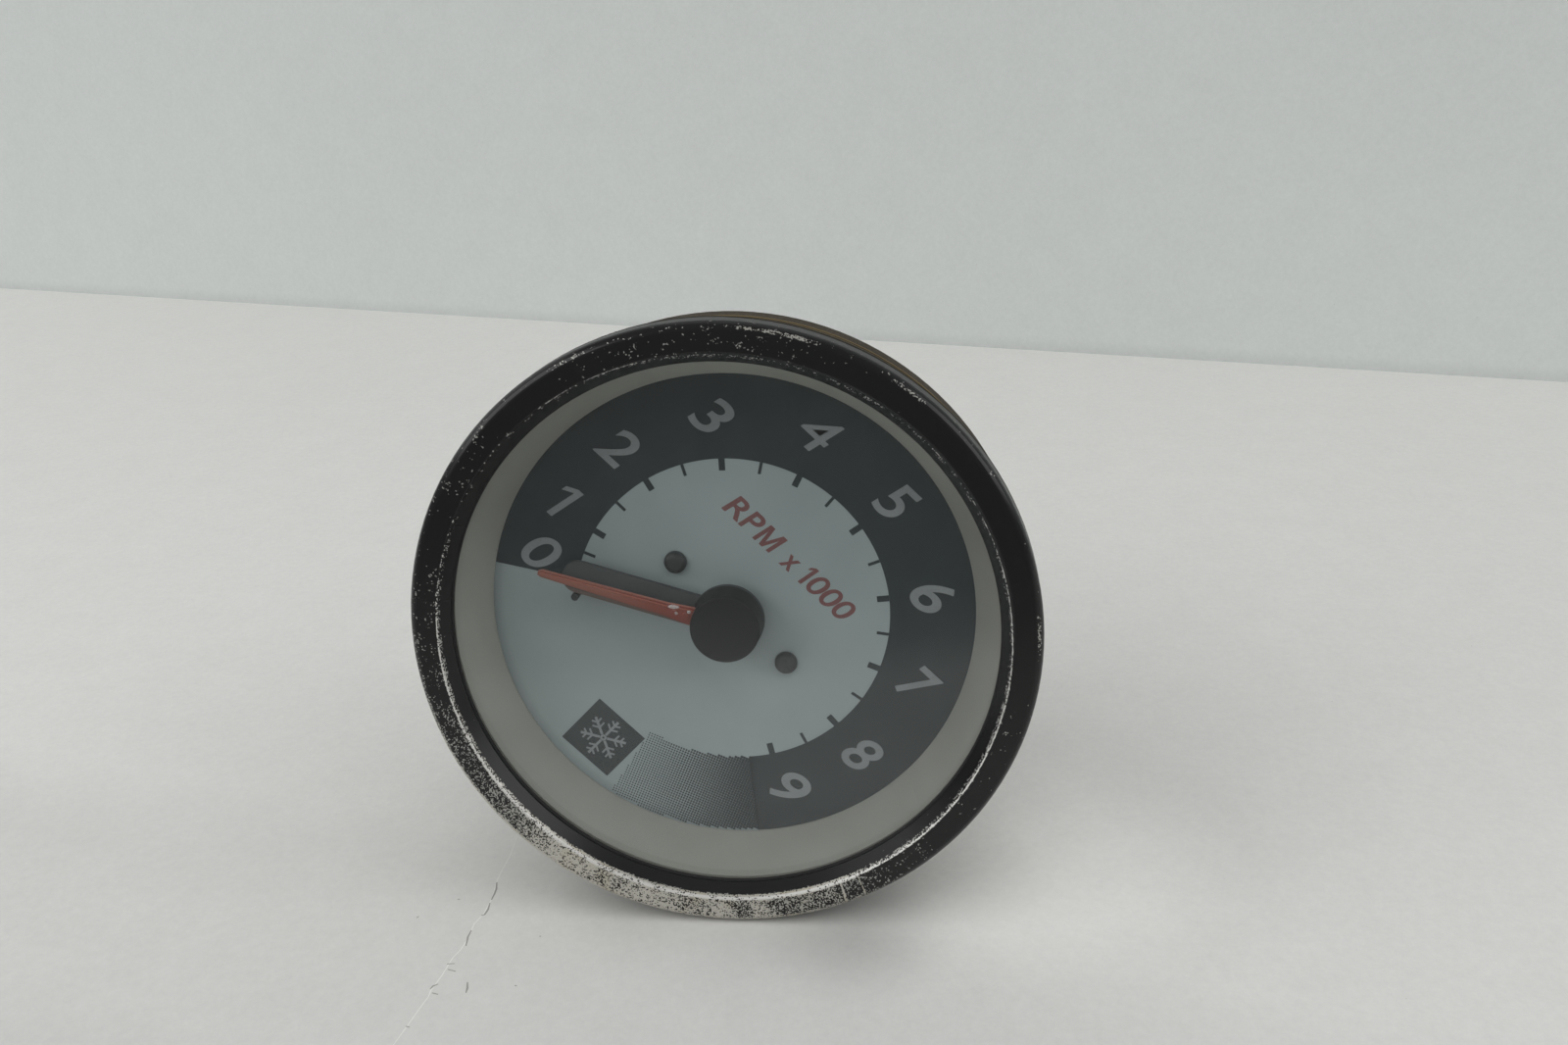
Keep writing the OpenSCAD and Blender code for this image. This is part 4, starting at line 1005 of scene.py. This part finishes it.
def dome_mesh(name, centre, long, wide, tall):
    """A closed low dome on a face that looks along -Y."""
    bm = bmesh.new()
    rows = []
    for k in range(DROP_RINGS):
        rise = math.radians(90 * k / DROP_RINGS)
        row = []
        for j in range(DROP_SIDES):
            a = 2 * math.pi * j / DROP_SIDES
            at = (long / 2 * math.cos(rise) * math.cos(a), wide / 2 * math.cos(rise) * math.sin(a))
            x, z = turned(at, DROP_TURN)
            row.append(bm.verts.new((centre.x + x * MM, centre.y - tall * math.sin(rise) * MM, centre.z + z * MM)))
        rows.append(row)
    top = bm.verts.new((centre.x, centre.y - tall * MM, centre.z))
    bm.faces.new(rows[0])
    for j in range(DROP_SIDES):
        k = (j + 1) % DROP_SIDES
        for a, b in zip(rows, rows[1:]):
            bm.faces.new((a[j], a[k], b[k], b[j]))
        bm.faces.new((rows[-1][j], rows[-1][k], top))
    for f in bm.faces:
        f.smooth = len(f.verts) < DROP_SIDES
    return mesh_from(bm, name)


def add_drops(cam):
    """Small drops of clear lacquer on the pointer's blade, seen at their pixels of the photograph."""
    eye = cam.matrix_world.translation
    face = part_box("pointer_blade")[0].y
    clear = glass_material("clear_lacquer", (0.95, 0.96, 0.95), rough=0.1, haze=0.22)
    for i, (px, py, long, wide, tall) in enumerate(DROPS):
        ray = pixel_ray(cam, px, py)
        at = eye + ray * ((face - eye.y) / ray.y)
        name = "lacquer_drop_%d" % (i + 1)
        mounted(name, dome_mesh(name, at, long, wide, tall), clear, "pointer")


def dress_nodes():
    """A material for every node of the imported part."""
    looks = (
        (bezel_material(), ["bezel"]),
        (plastic("rubber", (0.012, 0.012, 0.012), rough=0.75, bump=0.3), ["bezel_gasket", "lamp_seal"]),
        (glass_material("glass", (0.95, 0.965, 0.965), haze=0.004), ["lens"]),
        (shade_material(), ["shade_ring"]),
        (dial_material(), ["dial_plate"]),
        (plastic("black_steel", (0.03, 0.032, 0.033), rough=0.32, bump=0.1), ["dial_pegs", "stop_pin"]),
        (plastic("natural_nylon", (0.66, 0.63, 0.52), rough=0.4), ["bobbin_front", "bobbin_rear"]),
        (metal("enamelled_copper", (0.55, 0.25, 0.11), rough=0.35, stretch=(1, 1, 8)),
         ["coil_inner", "coil_outer", "terminal_leads"]),
        (metal("bronze", (0.6, 0.45, 0.22)), ["front_bearing", "rear_bearing", "pointer_counterweight"]),
        (metal("soft_iron", (0.46, 0.46, 0.47), rough=0.4), ["shield_band"]),
        (metal("tinned_brass", (0.66, 0.64, 0.57), rough=0.32), ["coil_pins", "terminal_blades", "lamp_contacts"]),
        (plastic("white_plastic", (0.78, 0.78, 0.75), rough=0.4), ["light_box"]),
        (plastic("board_green", (0.03, 0.15, 0.07), rough=0.3), ["circuit_board"]),
        (metal("zinc_steel", (0.58, 0.57, 0.52)), ["board_screws", "mounting_studs", "spindle"]),
        (plastic("chip_black", (0.025, 0.025, 0.027), rough=0.5), ["driver_chip"]),
        (plastic("capacitor_sleeve", (0.04, 0.07, 0.18), rough=0.3), ["capacitors"]),
        (plastic("resistor_tan", (0.55, 0.42, 0.26), rough=0.4), ["resistors"]),
        (plastic("trimmer_blue", (0.05, 0.14, 0.38), rough=0.35), ["trimmer"]),
        (case_material(), ["case"]),
        (plastic("black_plastic", (0.007, 0.0072, 0.0074), rough=0.5, gloss=0.3),
         ["terminal_insulator", "pointer_cap", "lamp_holder"]),
        (carrier_material(), ["pointer_carrier"]),
        (pointer_material(), ["pointer_blade"]),
        (metal("magnet", (0.16, 0.16, 0.17), rough=0.5), ["rotor_magnet"]),
        (glass_material("bulb_glass", (0.95, 0.97, 0.95)), ["lamp_bulb"]),
    )
    for material, names in looks:
        for name in names:
            dressed(NODES[name].data, material)


cam = add_camera()
normal, along, away = add_stage(cam)
add_light(normal, along, away)
dress_nodes()
add_print()
add_drops(cam)
bpy.context.scene.view_settings.view_transform = "Standard"
